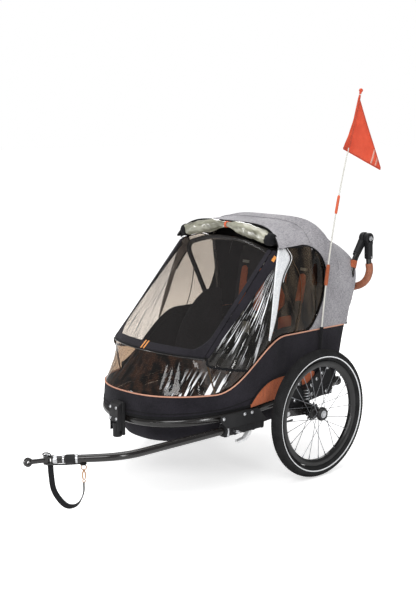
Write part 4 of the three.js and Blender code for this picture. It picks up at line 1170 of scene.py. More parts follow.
def hood_wave(station_share, turn):
    """Slight slack in the fabric between the hoops."""
    sag = math.sin(station_share * math.pi * 3) ** 2
    top = math.sin(turn * math.pi) ** 3
    return -3.0 * sag * top + 0.8 * math.sin(turn * 31 + station_share * 17) * (1 - top)


def build_hood():
    stations = spline(HOOD_STATIONS, 6)
    rows = []
    for n, station in enumerate(stations):
        share = n / (len(stations) - 1)
        rows.append([hood_point(station, turn, 2 + hood_wave(share, turn)) for turn in hood_turns(88)])
    made = mesh_object("hood_shell", grid(rows), HOOD_FABRIC)
    add_thickness(made, 2.4, LINING)
    bake_modifiers(made)
    for cutter in hood_cutters():
        subtract(made, cutter)
    shade(made, 50)
    stand_in(made, None, ["canopy"])
    fan_fold(made)
    build_hood_seams(stations)


def hood_cutters():
    """Room for the side windows, the front border and the rear hoop's legs."""
    window = np.concatenate(window_outline(0))
    foot = [(-130, 530), (32, 530), (32, 640), (-130, 640)]
    cheek = [(-300, 530), (-84, 530), (-84, 884), (-300, 884)]
    leg_hole = circle(14.5, 24)
    for _, side in SIDES:
        for outline in (window, foot, cheek):
            yield side_plate(outline, side, 200, 360)
        yield sweep(rear_leg(side)[4:], leg_hole)


def subtract(made, shape):
    """Cuts a closed shape out of an object's mesh for good."""
    cutter = mesh_object("cutter", shape, PLASTIC)
    modifier = made.modifiers.new("cut", "BOOLEAN")
    modifier.operation = "DIFFERENCE"
    modifier.solver = "EXACT"
    modifier.object = cutter
    bake_modifiers(made)
    bpy.data.objects.remove(cutter)


def build_hood_seams(stations):
    """Bound edges and the sewn seams over the bow and down the back."""
    def over(station, lift, low=0.0, high=1.0):
        return np.array([hood_point(station, t, lift) for t in hood_turns(96) if low <= t <= high])

    hood_trim("hood_front_binding", sweep(over(stations[0], 3, 0.205, 0.795), pill(4.5, 4)), BINDING)
    for name, index, low, high in SEAM_TURNS:
        seam = sweep(over(stations[index], 2.5, low, high), pill(1.6, 5.0, 10))
        hood_trim(f"hood_seam_{name}", seam, HOOD_FABRIC)
    hood_trim("hood_tail_binding", sweep(over(stations[-1], 2), pill(6, 5, 12)), BINDING)
    build_rear_pocket(stations)


def build_rear_pocket(stations):
    """A zipped pocket on the back of the hood."""
    def on_back(u, v, lift):
        index = POCKET_FIRST_STATION + v * POCKET_STATIONS
        low = int(index)
        following = stations[min(low + 1, len(stations) - 1)]
        station = stations[low] + (following - stations[low]) * (index - low)
        point = hood_point(station, math.acos(np.clip(u, -1, 1)) / math.pi, 2)
        return point + np.array((0, lift, lift * 0.2))

    def bulge(u, v):
        return (1 - (abs(u) / POCKET_HALF_WIDTH) ** 8) * (1 - abs(2 * v - 1) ** 8)

    columns = np.linspace(-POCKET_HALF_WIDTH, POCKET_HALF_WIDTH, 40)
    rows = [[on_back(u, v, 3 + 9 * bulge(u, v)) for u in columns] for v in np.linspace(0, 1, 18)]
    hood_sheet("hood_rear_pocket", grid(rows), HOOD_FABRIC, 2.0, levels=1)
    zipper = [on_back(u, 0.12, 12.5) for u in np.linspace(-0.56, 0.56, 50)]
    hood_trim("rear_pocket_zip", sweep(zipper, pill(7, 3, 10), up=Z_AXIS), BINDING)


def wall_point(side, y, z, lift):
    return np.array((side * (side_wall_x(y, z) + lift), y, z))


def ribbon(side, path, width, lift, columns):
    """A band that lies on the side wall. `width` is laid off to the right of the path in [y, z]."""
    path = np.asarray(path, float)
    rows = []
    for i, point in enumerate(path):
        ahead = path[min(i + 1, len(path) - 1)] - path[max(i - 1, 0)]
        normal = unit(np.array((ahead[1], -ahead[0])))
        row = [point + normal * width * k / columns for k in range(columns + 1)]
        rows.append([wall_point(side, y, z, lift) for y, z in row])
    return grid(rows)


STRIP_FRONT = np.array(((-90, 880), (-106, 836), (-133, 744), (-164, 623), (-183, 546)))
STRIP_REAR = np.array(((-54, 880), (-40, 838), (-92, 762), (-136, 632), (-175, 543)))
REAR_SEAM = ((-52, 880), (-30, 836), (-6, 791), (6, 743), (2, 683), (-10, 622), (-34, 560))
LOW_SEAM = ((-453, 506), (-441, 478), (-358, 457), (-279, 443))


def strip_rear_y(z):
    return np.interp(z, STRIP_REAR[::-1, 1], STRIP_REAR[::-1, 0])


def film_index(y, z):
    """Which film shows at a place: 0 in front of the strip, 1 behind it, 2 under the low seam."""
    ys, zs = zip(*LOW_SEAM)
    if y < ys[-1] and z < np.interp(y, ys, zs):
        return 2
    return 1 if y > strip_rear_y(z) - 8 else 0


def pane_crease(y, z):
    """Creases of the side film: they fan out from the roll and are deepest in front of the seam."""
    fan = math.atan2(y + 62, 905 - z)
    reach = math.hypot(y + 62, 905 - z)
    front = 1 - smoothstep(y - strip_rear_y(z), -8, 40)
    sharp = math.sin(fan * 66) + 0.6 * math.sin(fan * 113 + 1.7) + 0.4 * math.sin(fan * 29 + reach / 60)
    slack = math.sin(y / 31 + z / 53) + 0.6 * math.sin(y / 17 - z / 29)
    return float(1.5 * sharp * front * smoothstep(reach, 20, 120) + 0.9 * slack * (1 - front))


def build_side_window(word, side):
    lower, arch, front = window_outline(2.5)
    outer = resample(np.concatenate([lower, arch[:-3]]), 150)
    inner = resample(np.concatenate([arch[-3:], front])[::-1], 150)
    rows = []
    for share in np.linspace(0, 1, 34):
        line = outer * (1 - share) + inner * share
        room = math.sin(share * math.pi) ** 0.6
        rows.append([wall_point(side, y, z, -2 + room * pane_crease(y, z)) for y, z in line])
    film = sheet(f"side_film_{word}", None, grid(rows), SIDE_FILM, 1.0,
                 [f"side_window_{word}"],
                 levels=0)
    film.data.materials.append(REAR_FILM)
    film.data.materials.append(WINDOW_FILM)
    for face in film.data.polygons:
        _, y, z = np.array(face.center) / MM - (0, AXLE_Y, 0)
        face.material_index = film_index(y, z)
    bake_modifiers(film)
    fan_fold(film)
    build_strip(word, side)
    build_window_seams(word, side, lower, arch, front)


def side_line(side, path, lift, count=70):
    return [wall_point(side, y, z, lift) for y, z in resample(spline(path, 8), count)]


def build_strip(word, side):
    """The reflective strip down the side window, with the dark edge and the cord behind it."""
    front_edge, rear_edge = (resample(spline(edge, 10), 60) for edge in (STRIP_FRONT, STRIP_REAR))
    band = [[wall_point(side, *(a * (1 - t) + b * t), 3.4) for t in np.linspace(0, 1, 7)]
            for a, b in zip(front_edge, rear_edge)]
    hood_sheet(f"reflective_strip_{word}", grid(band), TAPE, 1.0)
    dark = side_line(side, rear_edge[:26] + (3.5, 0), 3.4)
    hood_trim(f"strip_edge_{word}", sweep(dark, pill(3.0, 3.6, 8)), BINDING)
    bright = side_line(side, rear_edge[:24] + (8, 0), 3.4)
    hood_trim(f"strip_cord_{word}", sweep(bright, circle(1.5, 8)), TAPE)


def build_window_seams(word, side, lower, arch, front):
    """The brown seam behind the strip and the bound edge of the side window."""
    brown = side_line(side, REAR_SEAM, 2.6)
    hood_trim(f"window_seam_{word}", sweep(brown, pill(2.0, 3.4, 8)), SEAM_TAPE)
    rim = resample(np.concatenate([[(42, PIPING_REAR_Z + 3)], lower[-1:], arch, front[:2]]), 110)
    hood_sheet(f"window_binding_{word}", ribbon(side, rim[::-1], 4, 2.8, 3), BINDING, 1.6)


def build_low_seam(word, side):
    """The bound seams that join the side film to the front film, and the tub's lining above its rim."""
    outward = (side, 0, 0)
    path = side_line(side, LOW_SEAM, 2.2)
    seam = sweep(path, pill(3.0, 9.0, 10), up=outward)
    piece(f"low_seam_{word}", "chassis", seam, BINDING)
    facing = [[wall_point(side, y, piping_z(y) + rise, -6) for rise in np.linspace(0, 32, 5)]
              for y in np.linspace(-416, 24, 80)]
    sheet(f"rim_facing_{word}", "chassis", grid(facing), LINING, 1.2, levels=0)
    down = resample([(-453, 504), (-420, PIPING_FRONT_Z + 5)], 12)
    corner = [wall_point(side, y, z, 0.5) for y, z in down]
    joint = sweep(corner, pill(2.4, 7.0, 10), up=outward)
    piece(f"corner_seam_{word}", "chassis", joint, SEAM_TAPE)


def curtain_point(u, height):
    """The insect curtain, from the hem at height 0 to the roll at height 1."""
    low = hem_point(u) + (0, 2, 4)
    high = np.array((HEM["x"] * u, -110, 874 + 38 * (1 - u * u)))
    slack = 7 * math.sin(height * math.pi) * (1 - u * u)
    return low * (1 - height) + high * height + np.array((0, 0.6 * slack, -0.6 * slack))


def curtain_part(name, shape, material, thickness, replaces=(), levels=1):
    """A sheet of the curtain, with its modifiers and its place baked into its mesh."""
    made = sheet(name, None, shape, material, thickness, replaces, levels=levels)
    bake_modifiers(made)
    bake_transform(made)


def curtain_band(us, heights, lift, columns, count):
    """A band of the curtain between two values of u and two heights, raised off its surface by lift."""
    out = np.array((0, -0.7, 0.7)) * lift
    return grid([[curtain_point(u, height) + out for u in np.linspace(*us, columns)]
                 for height in np.linspace(*heights, count)])


def build_curtain():
    net = curtain_band((-0.985, 0.985), (0.0, 1.0), 0, 61, 40)
    curtain_part("insect_net", net, NETTING, 0.8, ["front_mesh"], levels=0)
    hem = curtain_band((-1, 1), (-0.014, 0.047), 1.2, 81, 6)
    curtain_part("curtain_hem", hem, NAVY_FABRIC, 2.4)
    for word, side in SIDES:
        edge = curtain_band((side * 0.925, side * 1.0), (0.0, 1.0), 1.4, 4, 50)
        curtain_part(f"curtain_edge_{word}", edge, NAVY_FABRIC, 2.2)
        curtain_part(f"curtain_flank_{word}", flank_band(side), NAVY_FABRIC, 2.2)
        curtain_part(f"curtain_gusset_{word}", corner_gusset(side), NAVY_FABRIC, 2.0,
                     levels=0)
        tag = flank_band(side, 0.915, 0.962, 9, 12, 3.6)
        curtain_part(f"curtain_tag_{word}", tag, ORANGE_STITCH, 1.2, levels=0)
    tabs = [curtain_band((u - 0.012, u + 0.012), (-0.016, 0.050), 3.2, 4, 8) for u in (-0.03, 0.03)]
    curtain_part("hem_tabs", merged(*tabs), ORANGE_STITCH, 1.4, levels=0)


def corner_gusset(side, reach=(0.24, 0.20), corner=(0.94, 0.03)):
    """Fills the lower corner of the net's opening, so that the border turns it in one round curve."""
    rows = []
    for angle in np.linspace(0, math.pi / 2, 16):
        arc = np.array((corner[0] - reach[0] * (1 - math.cos(angle)),
                        corner[1] + reach[1] * (1 - math.sin(angle))))
        row = [arc * (1 - t) + np.array(corner) * t for t in np.linspace(0, 1, 6)]
        rows.append([curtain_point(side * u, height) + np.array((0, -0.9, 0.9)) for u, height in row])
    return grid(rows)


def flank_band(side, low=0.0, high=1.0, inset=0, width=0, lift=2.6):
    """The curtain's side border, folded round onto the side wall."""
    start, end = np.array((HEM["y"] + 2, HEM["z"] + 4)), np.array((-104, 878))
    count = 44 if high - low > 0.5 else 5
    path = np.array([start + (end - start) * t for t in np.linspace(low, high, count)])
    normal = unit(np.array((end[1] - start[1], start[0] - end[0])))
    rows = []
    for i, point in enumerate(path):
        t = low + (high - low) * i / (len(path) - 1)
        reach = width if inset else 8 + 30 * t
        row = []
        for k in range(8):
            y, z = point + normal * (inset + reach * k / 7)
            z = max(z, piping_z(y) + 6)
            wall = side_wall_x(y, z)
            turn = 0 if inset else (1 - k / 7) ** 3
            row.append((side * (wall + lift - turn * (wall + lift - HEM["x"])), y, z))
        rows.append(row)
    return grid(rows)


def roll_radius(u):
    """The rolled cover: two bulging halves gathered to a waist in the middle."""
    gathered = 0.38 + 0.62 * smoothstep(abs(u), 0.0, 0.36)
    bulge = 1 + 0.05 * math.sin(abs(u) * math.pi)
    return ROLL["radius"] * gathered * bulge * (1 - 0.08 * smoothstep(abs(u), 0.82, 0.88))


def roll_centre(u):
    lifted = 8 * math.exp(-(u / 0.3) ** 2)
    return np.array((ROLL["half_length"] * u, ROLL["y"], ROLL["z"] + lifted + ROLL["crown"] * (1 - u * u)))


def build_roll():
    rows = [roll_section(-0.96 + 1.92 * n / 120) for n in range(121)]
    piece("rolled_cover", "front_hoop", grid(rows, wrap=True, caps=True), ROLL_FILM,
          ["rain_roll"])
    for word, side in SIDES:
        build_roll_cuff(word, side)
    waist = roll_centre(0)
    loop = [waist + np.array((0, 11.5 * math.cos(a), 11.5 * math.sin(a)))
            for a in np.linspace(0, 2 * math.pi, 33)]
    tab = [waist + p for p in np.array(((0, 11, 4), (0, 26, 10), (0, 44, 8)))]
    tie = merged(sweep(loop[:-1], pill(2.6, 10, 10), up=Y_AXIS, closed=True), sweep(tab, pill(2.4, 12, 10)))
    piece("roll_tie", "front_hoop", tie, COPPER_PLASTIC)


def roll_section(u, sides=48):
    """The roll's outline at u, dented and gathered towards its waist."""
    centre = roll_centre(u)
    section = []
    for k in range(sides):
        angle = k / sides * 2 * math.pi
        gather = 1.5 * math.sin(angle * 7 + 3 * abs(u)) * math.exp(-(abs(u) / 0.28))
        dent = 0.9 * math.sin(angle * 2 + u * 23) + 0.6 * math.sin(angle * 5 - u * 37)
        radius = roll_radius(u) + gather + dent
        section.append(centre + radius * np.array((0, math.cos(angle), math.sin(angle))))
    return section


def build_roll_cuff(word, side):
    """A black elastic cuff with the rolled layers showing as a spiral in its end."""
    centre = np.array((side * ROLL["half_length"], ROLL["y"], ROLL["z"] + 4))
    outer = ROLL["radius"] - 1
    cuff = [(outer - 3, -30), (outer + 0.6, -29), (outer + 1.2, -22), (outer + 0.8, -8), (outer - 2.5, 0.5),
            (outer - 8, 3), (1, 3)]
    spiral = []
    for k in range(80):
        angle = k / 80 * 5 * math.pi
        radius = 4 + 13 * k / 80
        spiral.append(centre + (side * 3.2, radius * math.cos(angle), radius * math.sin(angle)))
    shape = turned([(r, side * h) for r, h in cuff], centre, X_AXIS, 40)
    piece(f"roll_cuff_{word}", "front_hoop", merged(shape, tube(spiral, 1.4, 8)), BINDING)


# ---------------------------------------------------------------- hoops and handle

def rear_leg(side):
    corners = [(302, 158, 360), (302, 236, 545), (302, 285, 690), (300, 324, 792), (291, 384, 868),
               (291, 392, 880)]
    return rounded([np.array(c) * (side, 1, 1) for c in corners], 30, 6)


def hoop_eye(x, radius):
    profile = soft_profile([(5.8, -radius), (15, -radius), (15, radius), (5.8, radius)], 2)
    return turned(profile, (x, *HOOP_PIVOT[1:]), X_AXIS, 32, closed=True)


def bent_hoop(x, radius, y, z, crown, reach):
    half = np.array([(x, *HOOP_PIVOT[1:]), (x, y, z), (x * 0.4, y, z + crown)])
    path = rounded([*half, *(half * (-1, 1, 1))[::-1]], reach, 12)
    return merged(tube(path, radius, 20), hoop_eye(x, radius), hoop_eye(-x, radius))


def build_hoops():
    piece("roof_bow_tube", "roof_bow", bent_hoop(275, 9, 80, 932, 14, 110), PAINT,
          ["roof_bow"])
    piece("front_hoop_tube", "front_hoop", bent_hoop(250, 10, -92, 858, 42, 60), PAINT,
          ["front_hoop"])
    shapes = [rod((-302, 285, 690), (302, 285, 690), 9)]
    castings = []
    for _, side in SIDES:
        shapes.append(tube(rear_leg(side), 12, 24))
        shapes.append(hoop_eye(side * 302, 12))
        disc = soft_profile([(8, 0), (24, 0), (24, 20), (8, 20)], 4, closed=False)
        castings.append(turned(disc, (side * 283, *HANDLE[1:]), (side, 0, 0), 40))
        low, high = np.array((side * 293, 350, 826)), np.array((side * 291, 388, 874))
        lower = low + (high - low) * 0.04
        castings.append(sweep([low, lower, (low + high) / 2, high], pill(29, 26, 24, 3),
                              scale=[0.86, 1.0, 1.04, 1.16]))
        castings.append(sweep([low - (high - low) * 0.12, low], circle(14, 24)))
    piece("rear_hoop_tube", "rear_hoop", merged(*shapes), PAINT, ["rear_hoop"])
    piece("rear_hoop_castings", "rear_hoop", merged(*castings), PLASTIC, bevel=1)
    for word, side in SIDES:
        low, high = np.array((side * 301, 317, 772)), np.array((side * 299, 329, 800))
        cuff = sweep([low, low + (high - low) * 0.1, high - (high - low) * 0.1, high], circle(14.2, 24),
                     scale=[0.94, 1.02, 1, 0.95])
        piece(f"leg_cuff_{word}", "rear_hoop", cuff, COPPER_FABRIC)


GRIP_TOP_Z = 785


def handle_line():
    """The handle's centre line: down from the knuckles, then one smooth bend into the crossbar."""
    half = np.array([(316, 396, 887), (316, 400, 800), (315, 408, 752), (302, 401, 712), (268, 389, 688),
                     (190, 386, 680)])
    return resample(spline([*half, *(half * (-1, 1, 1))[::-1]], 20), 260)


def build_handle():
    line = handle_line()
    inner = line[np.linalg.norm(line[:, 1:] - HANDLE[1:], axis=1) > 20]
    piece("handle_tube", "handlebar", tube(inner, 11, 20), PAINT, ["handle_bar"])
    grip = line[line[:, 2] < GRIP_TOP_Z]
    wobble = [0.9, *[1 + 0.008 * math.sin(i * 0.9) for i in range(len(grip) - 2)], 0.9]
    piece("handle_leather", "handlebar", sweep(grip, circle(15, 28), scale=wobble), LEATHER,
          ["handle_grip"])
    stitches = []
    for a, b in zip(grip[3:-3:2], grip[4:-2:2]):
        away = unit(np.array((a[0] * 0.001, -0.35, -1.0)))
        stitches.append(rod(a + away * 14.7, b + away * 14.7, 0.9, 6))
    piece("grip_stitching", "handlebar", merged(*stitches), LINING)
    for word, side in SIDES:
        build_knuckle(word, side)


def build_knuckle(word, side):
    place = np.array((side * HANDLE[0], *HANDLE[1:]))
    x = side * 305.5
    profile = rounded([np.array(p) for p in ((12.5, 0), (22.4, 0), (22.4, 20), (17, 20.5), (11.4, 20.5),
                                             (11.4, 7), (4, 7))], 2.5, 4)
    disc = turned(profile, (x, *HANDLE[1:]), (side, 0, 0), 48)
    direction = unit(np.array((0, 4.0, -87.0)))
    sleeve_end = place + direction * 84
    sleeve = sweep([place + direction * 14, place + direction * 30, sleeve_end - direction * 5, sleeve_end],
                   pill(31, 28, 28, 3.2), up=X_AXIS, scale=[1.12, 1.0, 1.0, 0.9])
    piece(f"knuckle_{word}", "handlebar", merged(disc, sleeve), PLASTIC,
          [f"handle_knuckle_{word}"], bevel=1)
    rings = [(3, 13.6), (6.6, 14), (7.0, 12.8), (8.0, 12.8), (8.6, 14), (10.2, 13), (10.4, 0.5)]
    button = turned(rings, (side * 316.8, *HANDLE[1:]), (side, 0, 0), 40)
    piece(f"knuckle_cap_{word}", f"knuckle_button_{word}", button, STEEL,
          [f"knuckle_button_{word}"])
    catch = turned([(2, 3.4), (4.2, 2.8), (4.6, 0)],
                   sleeve_end - direction * 9 + np.array((side * 14.2, 0, 0)),
                   (side, 0, 0), 20)
    piece(f"sleeve_catch_{word}", "handlebar", catch, STEEL)


# ---------------------------------------------------------------- wheels and suspension

TYRE_MIDDLE = (TYRE_RADIUS + RIM_RADIUS + 0.8) / 2
TYRE_HEIGHT = TYRE_RADIUS - TYRE_MIDDLE
KNOB_HEIGHT = 1.8
KNOB_ROWS = (-56, -40, -26, -13, 0, 13, 26, 40, 56)
KNOBS_ROUND = 132


def tyre_surface(section_angle, lift=0.0):
    """(radius, distance across) of the tyre at an angle of its section, 90 degrees at the tread."""
    angle = math.radians(section_angle)
    height, half = TYRE_HEIGHT - KNOB_HEIGHT + lift, TYRE_HALF_WIDTH - KNOB_HEIGHT * 0.5 + lift
    return TYRE_MIDDLE + height * math.sin(angle), half * math.cos(angle)


def wheel_point(side, radius, across, turn):
    return np.array((side * WHEEL_X + across, radius * math.cos(turn),
                     TYRE_RADIUS + radius * math.sin(turn)))


def tread_knob(side, row_angle, turn, width=5.0, length=0.0145):
    base, top = [], []
    for da, dt in ((-1, -1), (1, -1), (1, 1), (-1, 1)):
        for points, lift, share in ((base, -0.6, 1.0), (top, KNOB_HEIGHT, 0.78)):
            radius, across = tyre_surface(90 + row_angle + da * width * share, lift)
            points.append(wheel_point(side, radius, across, turn + dt * length * share))
    return grid([base, top], wrap=True, caps=True)


def build_tyre(word, side):
    centre = (side * WHEEL_X, 0, TYRE_RADIUS)
    profile = [tyre_surface(a) for a in np.linspace(-58, 238, 30)]
    bead = [(TYRE_MIDDLE - TYRE_HEIGHT + 0.6, -9), (TYRE_MIDDLE - TYRE_HEIGHT + 0.6, 9)]
    shapes = [turned(profile + bead, centre, X_AXIS, 120, closed=True)]
    for n in range(KNOBS_ROUND):
        for k, row_angle in enumerate(KNOB_ROWS):
            turn = (n + 0.5 * (k % 2)) / KNOBS_ROUND * 2 * math.pi
            shapes.append(tread_knob(side, row_angle, turn))
    body = f"wheel_{word}"
    piece(f"tyre_tread_{word}", body, merged(*shapes), TYRE_RUBBER, [f"tyre_{word}"], angle=28)
    rings = []
    for hand in (-1, 1):
        marks = [tyre_surface(a, 0.5) for a in (-22, -16, -10)]
        marks += [tyre_surface(a, -0.4) for a in (-10, -22)]
        rings.append(turned([(r, hand * x) for r, x in marks], centre, X_AXIS, 120, closed=True))
    piece(f"tyre_reflector_{word}", body, merged(*rings), TAPE)


def build_rim(word, side):
    centre = np.array((side * WHEEL_X, 0, TYRE_RADIUS))
    body = f"wheel_{word}"
    outer = RIM_RADIUS - 0.2
    section = [(outer, -12.5), (outer, -10), (outer - 5, -9), (outer - 5, 9), (outer, 10), (outer, 12.5),
               (outer - 8, 13), (outer - 15, 12.4), (RIM_INNER_RADIUS, 6), (RIM_INNER_RADIUS, -6),
               (outer - 15, -12.4), (outer - 8, -13)]
    rim = turned(soft_profile(section, 2), centre, X_AXIS, 120, closed=True)
    piece(f"rim_hoop_{word}", body, rim, RIM_PAINT, [f"rim_{word}"])
    hub = [(7.1, -30), (20, -30), (27, -25), (27, -20), (18, -16), (15.5, -8), (15.5, 4), (18, 11),
           (27, 14),
           (27, 19), (23, 28), (17, 28.6), (16, 28), (16, 13.4), (7.1, 13.4)]
    hub_shape = turned([(r, side * x) for r, x in soft_profile(hub, 1.2)], centre, X_AXIS, 48, closed=True)
    piece(f"hub_shell_{word}", body, hub_shape, RIM_PAINT, [f"hub_{word}"])
    spokes, nipples = [], []
    for i in range(24):
        outer_flange = i % 2 == 0
        angle = i / 24 * 2 * math.pi
        lead = (1 if (i // 2) % 2 == 0 else -1) * 0.9
        flange = side * (16.5 if outer_flange else -22.5)
        start = centre + (flange, 23 * math.cos(angle + lead), 23 * math.sin(angle + lead))
        reach = RIM_INNER_RADIUS + 1
        end = centre + (side * (3 if outer_flange else -3), reach * math.cos(angle),
                        reach * math.sin(angle))
        spokes.append(rod(start, end, 1.15, 10))
        nipples.append(rod(end + unit(start - end) * 14, end, 2.1, 10))
    piece(f"spokes_{word}", body, merged(*spokes, *nipples), DARK_STEEL)
    stem = rod(centre - (side * 1, RIM_INNER_RADIUS - 34, 0), centre - (side * 1, RIM_INNER_RADIUS + 1, 0),
               2.8, 14)
    cap = rod(centre - (side * 1, RIM_INNER_RADIUS - 26, 0), centre - (side * 1, RIM_INNER_RADIUS - 38, 0),
              3.6, 14)
    piece(f"tyre_valve_{word}", body, merged(stem, cap), CABLE_RUBBER)


def brake_outline(count=240, teeth=12, notch=5.4, rim=35.5):
    """The brake ring's edge: a circle with round notches for the pin."""
    outline = []
    for n in range(count):
        turn = n / count * 2 * math.pi
        away = (turn + math.pi / teeth) % (2 * math.pi / teeth) - math.pi / teeth
        radius = rim
        if BRAKE_PIN_RADIUS * abs(math.sin(away)) < notch:
            root = math.sqrt(notch ** 2 - (BRAKE_PIN_RADIUS * math.sin(away)) ** 2)
            radius = min(rim, BRAKE_PIN_RADIUS * math.cos(away) - root)
        outline.append((radius * math.cos(turn), TYRE_RADIUS + radius * math.sin(turn)))
    return outline


def build_axle(word, side):
    centre = np.array((side * WHEEL_X, 0, TYRE_RADIUS))
    body = f"wheel_{word}"
    x = sorted((side * (WHEEL_X - 36), side * (WHEEL_X - 30.4)))
    piece(f"brake_disc_{word}", body, plate(brake_outline(), *x), PLASTIC,
          [f"brake_ring_{word}"],
          bevel=0.6)
    head = [(6.5, -70), (6.5, 13.6), (14.6, 13.6), (15.4, 15), (15.4, 25), (14, 27.2), (10.4, 27.2),
            (9.6, 26),
            (9.6, 18)]
    shape = turned([(r, side * h) for r, h in head], centre, X_AXIS, 48)
    piece(f"axle_{word}", body, shape, STEEL, [f"axle_shaft_{word}"])
    button = [(8.9, 22.5), (8.9, 27.6), (8.0, 29.2), (5.6, 30), (3.4, 29.4), (0.6, 29.2)]
    shape = turned([(r, side * h) for r, h in button], centre, X_AXIS, 40)
    piece(f"axle_cap_{word}", f"axle_button_{word}", shape, STEEL, [f"axle_button_{word}"])


def build_suspension(word, side):
    plate_node = f"suspension_plate_{word}"
    dress(plate_node, PLASTIC, 1.4)
    dress(f"swing_arm_{word}", PAINT, 1.6)
    dress(f"arm_pivot_bolt_{word}", STEEL, 0.8)
    dress(f"brake_pin_{word}", STEEL, 0.5)
    places = ((-34, 358), (-58, 296), (130, 398), (98, 381), (66, 362), (36, 341), (123, 304), (39, 306))
    heads = [bolt_head((side * 343, y, z), (side, 0, 0), 7.6, 4.6) for y, z in places]
    piece(f"plate_bolts_{word}", "chassis", merged(*heads), STEEL)
    rib = [(-132, 262), (-60, 280), (20, 300), (96, 322), (150, 330)]
    ribs = [tube([(side * 342, y, z) for y, z in spline(rib, 8)], 2.4, 10)]
    piece(f"plate_rib_{word}", "chassis", merged(*ribs), PLASTIC)
    coil = []
    count = SPRING["turns"] * 26
    for i in range(count + 1):
        angle = i / 26 * 2 * math.pi
        rise = SPRING["high"] - SPRING["low"] - 2 * SPRING["wire"]
        z = SPRING["low"] + SPRING["wire"] + rise * i / count
        coil.append((side * (SPRING["x"] + SPRING["radius"] * math.cos(angle)),
                     SPRING["y"] + SPRING["radius"] * math.sin(angle), z))
    spring = piece(f"spring_coil_{word}", None, tube(coil, SPRING["wire"], 12), STEEL,
                   [f"coil_spring_{word}"])
    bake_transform(spring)


def dress(node, material, bevel):
    """A CAD node that stays: its own material, softened edges and smooth shading across its facets."""
    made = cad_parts[node]
    made.data.materials.clear()
    made.data.materials.append(material)
    shade(made, 40)
    add_bevel(made, bevel)


# ---------------------------------------------------------------- drawbar and hitch

def build_receiver():
    x, z = DRAWBAR["x"], DRAWBAR["z"]
    body = [sweep([(x, -406, z), (x, -203.5, z)], pill(43, 34, 40, 6))]
    for y in (-400, -352, -304, -256, -210):
        body.append(sweep([(x, y - 5, z), (x, y - 3.5, z), (x, y + 3.5, z), (x, y + 5, z)],
                          pill(46, 36.5, 40, 7),
                          scale=[0.97, 1, 1, 0.97]))
    flange = plate([(-407, 250), (-203, 250), (-250, 302), (-440, 302), (-440, 280)], 332.5, 336.5)
    mouth = turned([(15.1, 0), (21, 0), (22, 2), (22, 10), (20, 12)], (x, -407, z), Y_AXIS, 40)
    piece("receiver_body", "chassis", merged(*body, flange, mouth), PLASTIC,
          ["drawbar_receiver"], bevel=1)
    bolts = [bolt_head((336.4, y, zz), X_AXIS, 7, 4.2) for y, zz in ((-320, 290), (-282, 290), (-426, 290))]
    screws = [bolt_head((x, y, 257), Z_AXIS, 5.5, 3.4) for y in (-376, -328, -232)]
    band = sweep([(x, -398, z), (x, -388, z)], pill(48, 38.5, 40, 7))
    piece("receiver_hardware", "chassis", merged(*bolts, *screws, band), STEEL)
    dress("lock_pin", STEEL, 0.4)
    dress("release_lever", ALUMINIUM, 1.2)


def build_drawbar():
    x, z = DRAWBAR["x"], DRAWBAR["z"]
    path = rounded([(x, -215, z), BAR_CORNER, BAR_END], 80, 16)
    tube_shape = sweep(path, circle(DRAWBAR["radius"], 28))
    collar = turned([(14.2, -34), (16.2, -33), (16.6, -30), (16.6, -6), (15.6, -2), (14.2, -1)], BAR_END,
                    HITCH_AXIS,
                    36)
    piece("drawbar_pipe", "drawbar", tube_shape, PAINT, ["drawbar_tube"])
    piece("drawbar_sleeve", "drawbar", collar, PLASTIC)
    band = turned([(14.3, -44), (15.4, -43.5), (15.4, -37), (14.3, -36.5)], BAR_END, HITCH_AXIS, 36)
    piece("drawbar_band", "drawbar", band, STEEL)
    dress("hitch_swivel", PAINT, 0.9)
    neck = turned([(13.1, 2), (14, 2.5), (14, 8), (13.1, 8.5)], BAR_END, HITCH_AXIS, 36)
    waist = turned([(13.1, 26), (14.2, 27), (14.2, 40), (13.1, 41)], BAR_END, HITCH_AXIS, 36)
    piece("swivel_rings", "hitch_swivel", merged(neck, waist), STEEL)
    build_axle_link()


def build_axle_link():
    """The link with its eye for the bicycle's axle, a smooth stadium-shaped casting."""
    eye = soft_profile([(5.6, -6), (16, -6), (16, 6), (5.6, 6)], 2)
    reach = LINK_EYE - FORK
    toward = unit(reach)
    arm = sweep([FORK + toward * 4, FORK + toward * 12, LINK_EYE - toward * 18, LINK_EYE - toward * 10],
                pill(15.5, 12, 24, 4), scale=[1, 1, 1, 1.1])
    tongue = turned(soft_profile([(4.6, -8), (11, -8), (11, 8), (4.6, 8)], 1.5), FORK, Z_AXIS, 36,
                    closed=True)
    piece("link_casting", "axle_link", merged(turned(eye, LINK_EYE, X_AXIS, 40, closed=True), arm, tongue),
          PAINT,
          ["axle_link"])
    pin = turned([(3.2, -19), (4, -18), (4, 13), (8, 13.5), (8, 18.5), (6.6, 20), (0.6, 20)], FORK, Z_AXIS,
                 28)
    piece("hitch_pin_shank", "hitch_pin", pin, STEEL, ["hitch_pin"])
    loop = [FORK + np.array((r * math.cos(a), r * math.sin(a), h)) for a, r, h in
            zip(np.linspace(0.4, 2 * math.pi + 0.2, 40), [13] * 40,
                16 + 6 * np.sin(np.linspace(0, math.pi, 40)))]
    piece("pin_cable", "hitch_pin", tube(loop, 2.2, 12), CABLE_RUBBER)
    ring_centre = FORK + (0, 0, 26)
    ring = [ring_centre + np.array((8 * math.sin(a), 0, 8 * math.cos(a)))
            for a in np.linspace(0, 2 * math.pi, 33)]
    piece("pin_wire_ring", "hitch_pin", sweep(ring[:-1], circle(1.0, 8), closed=True), STEEL)


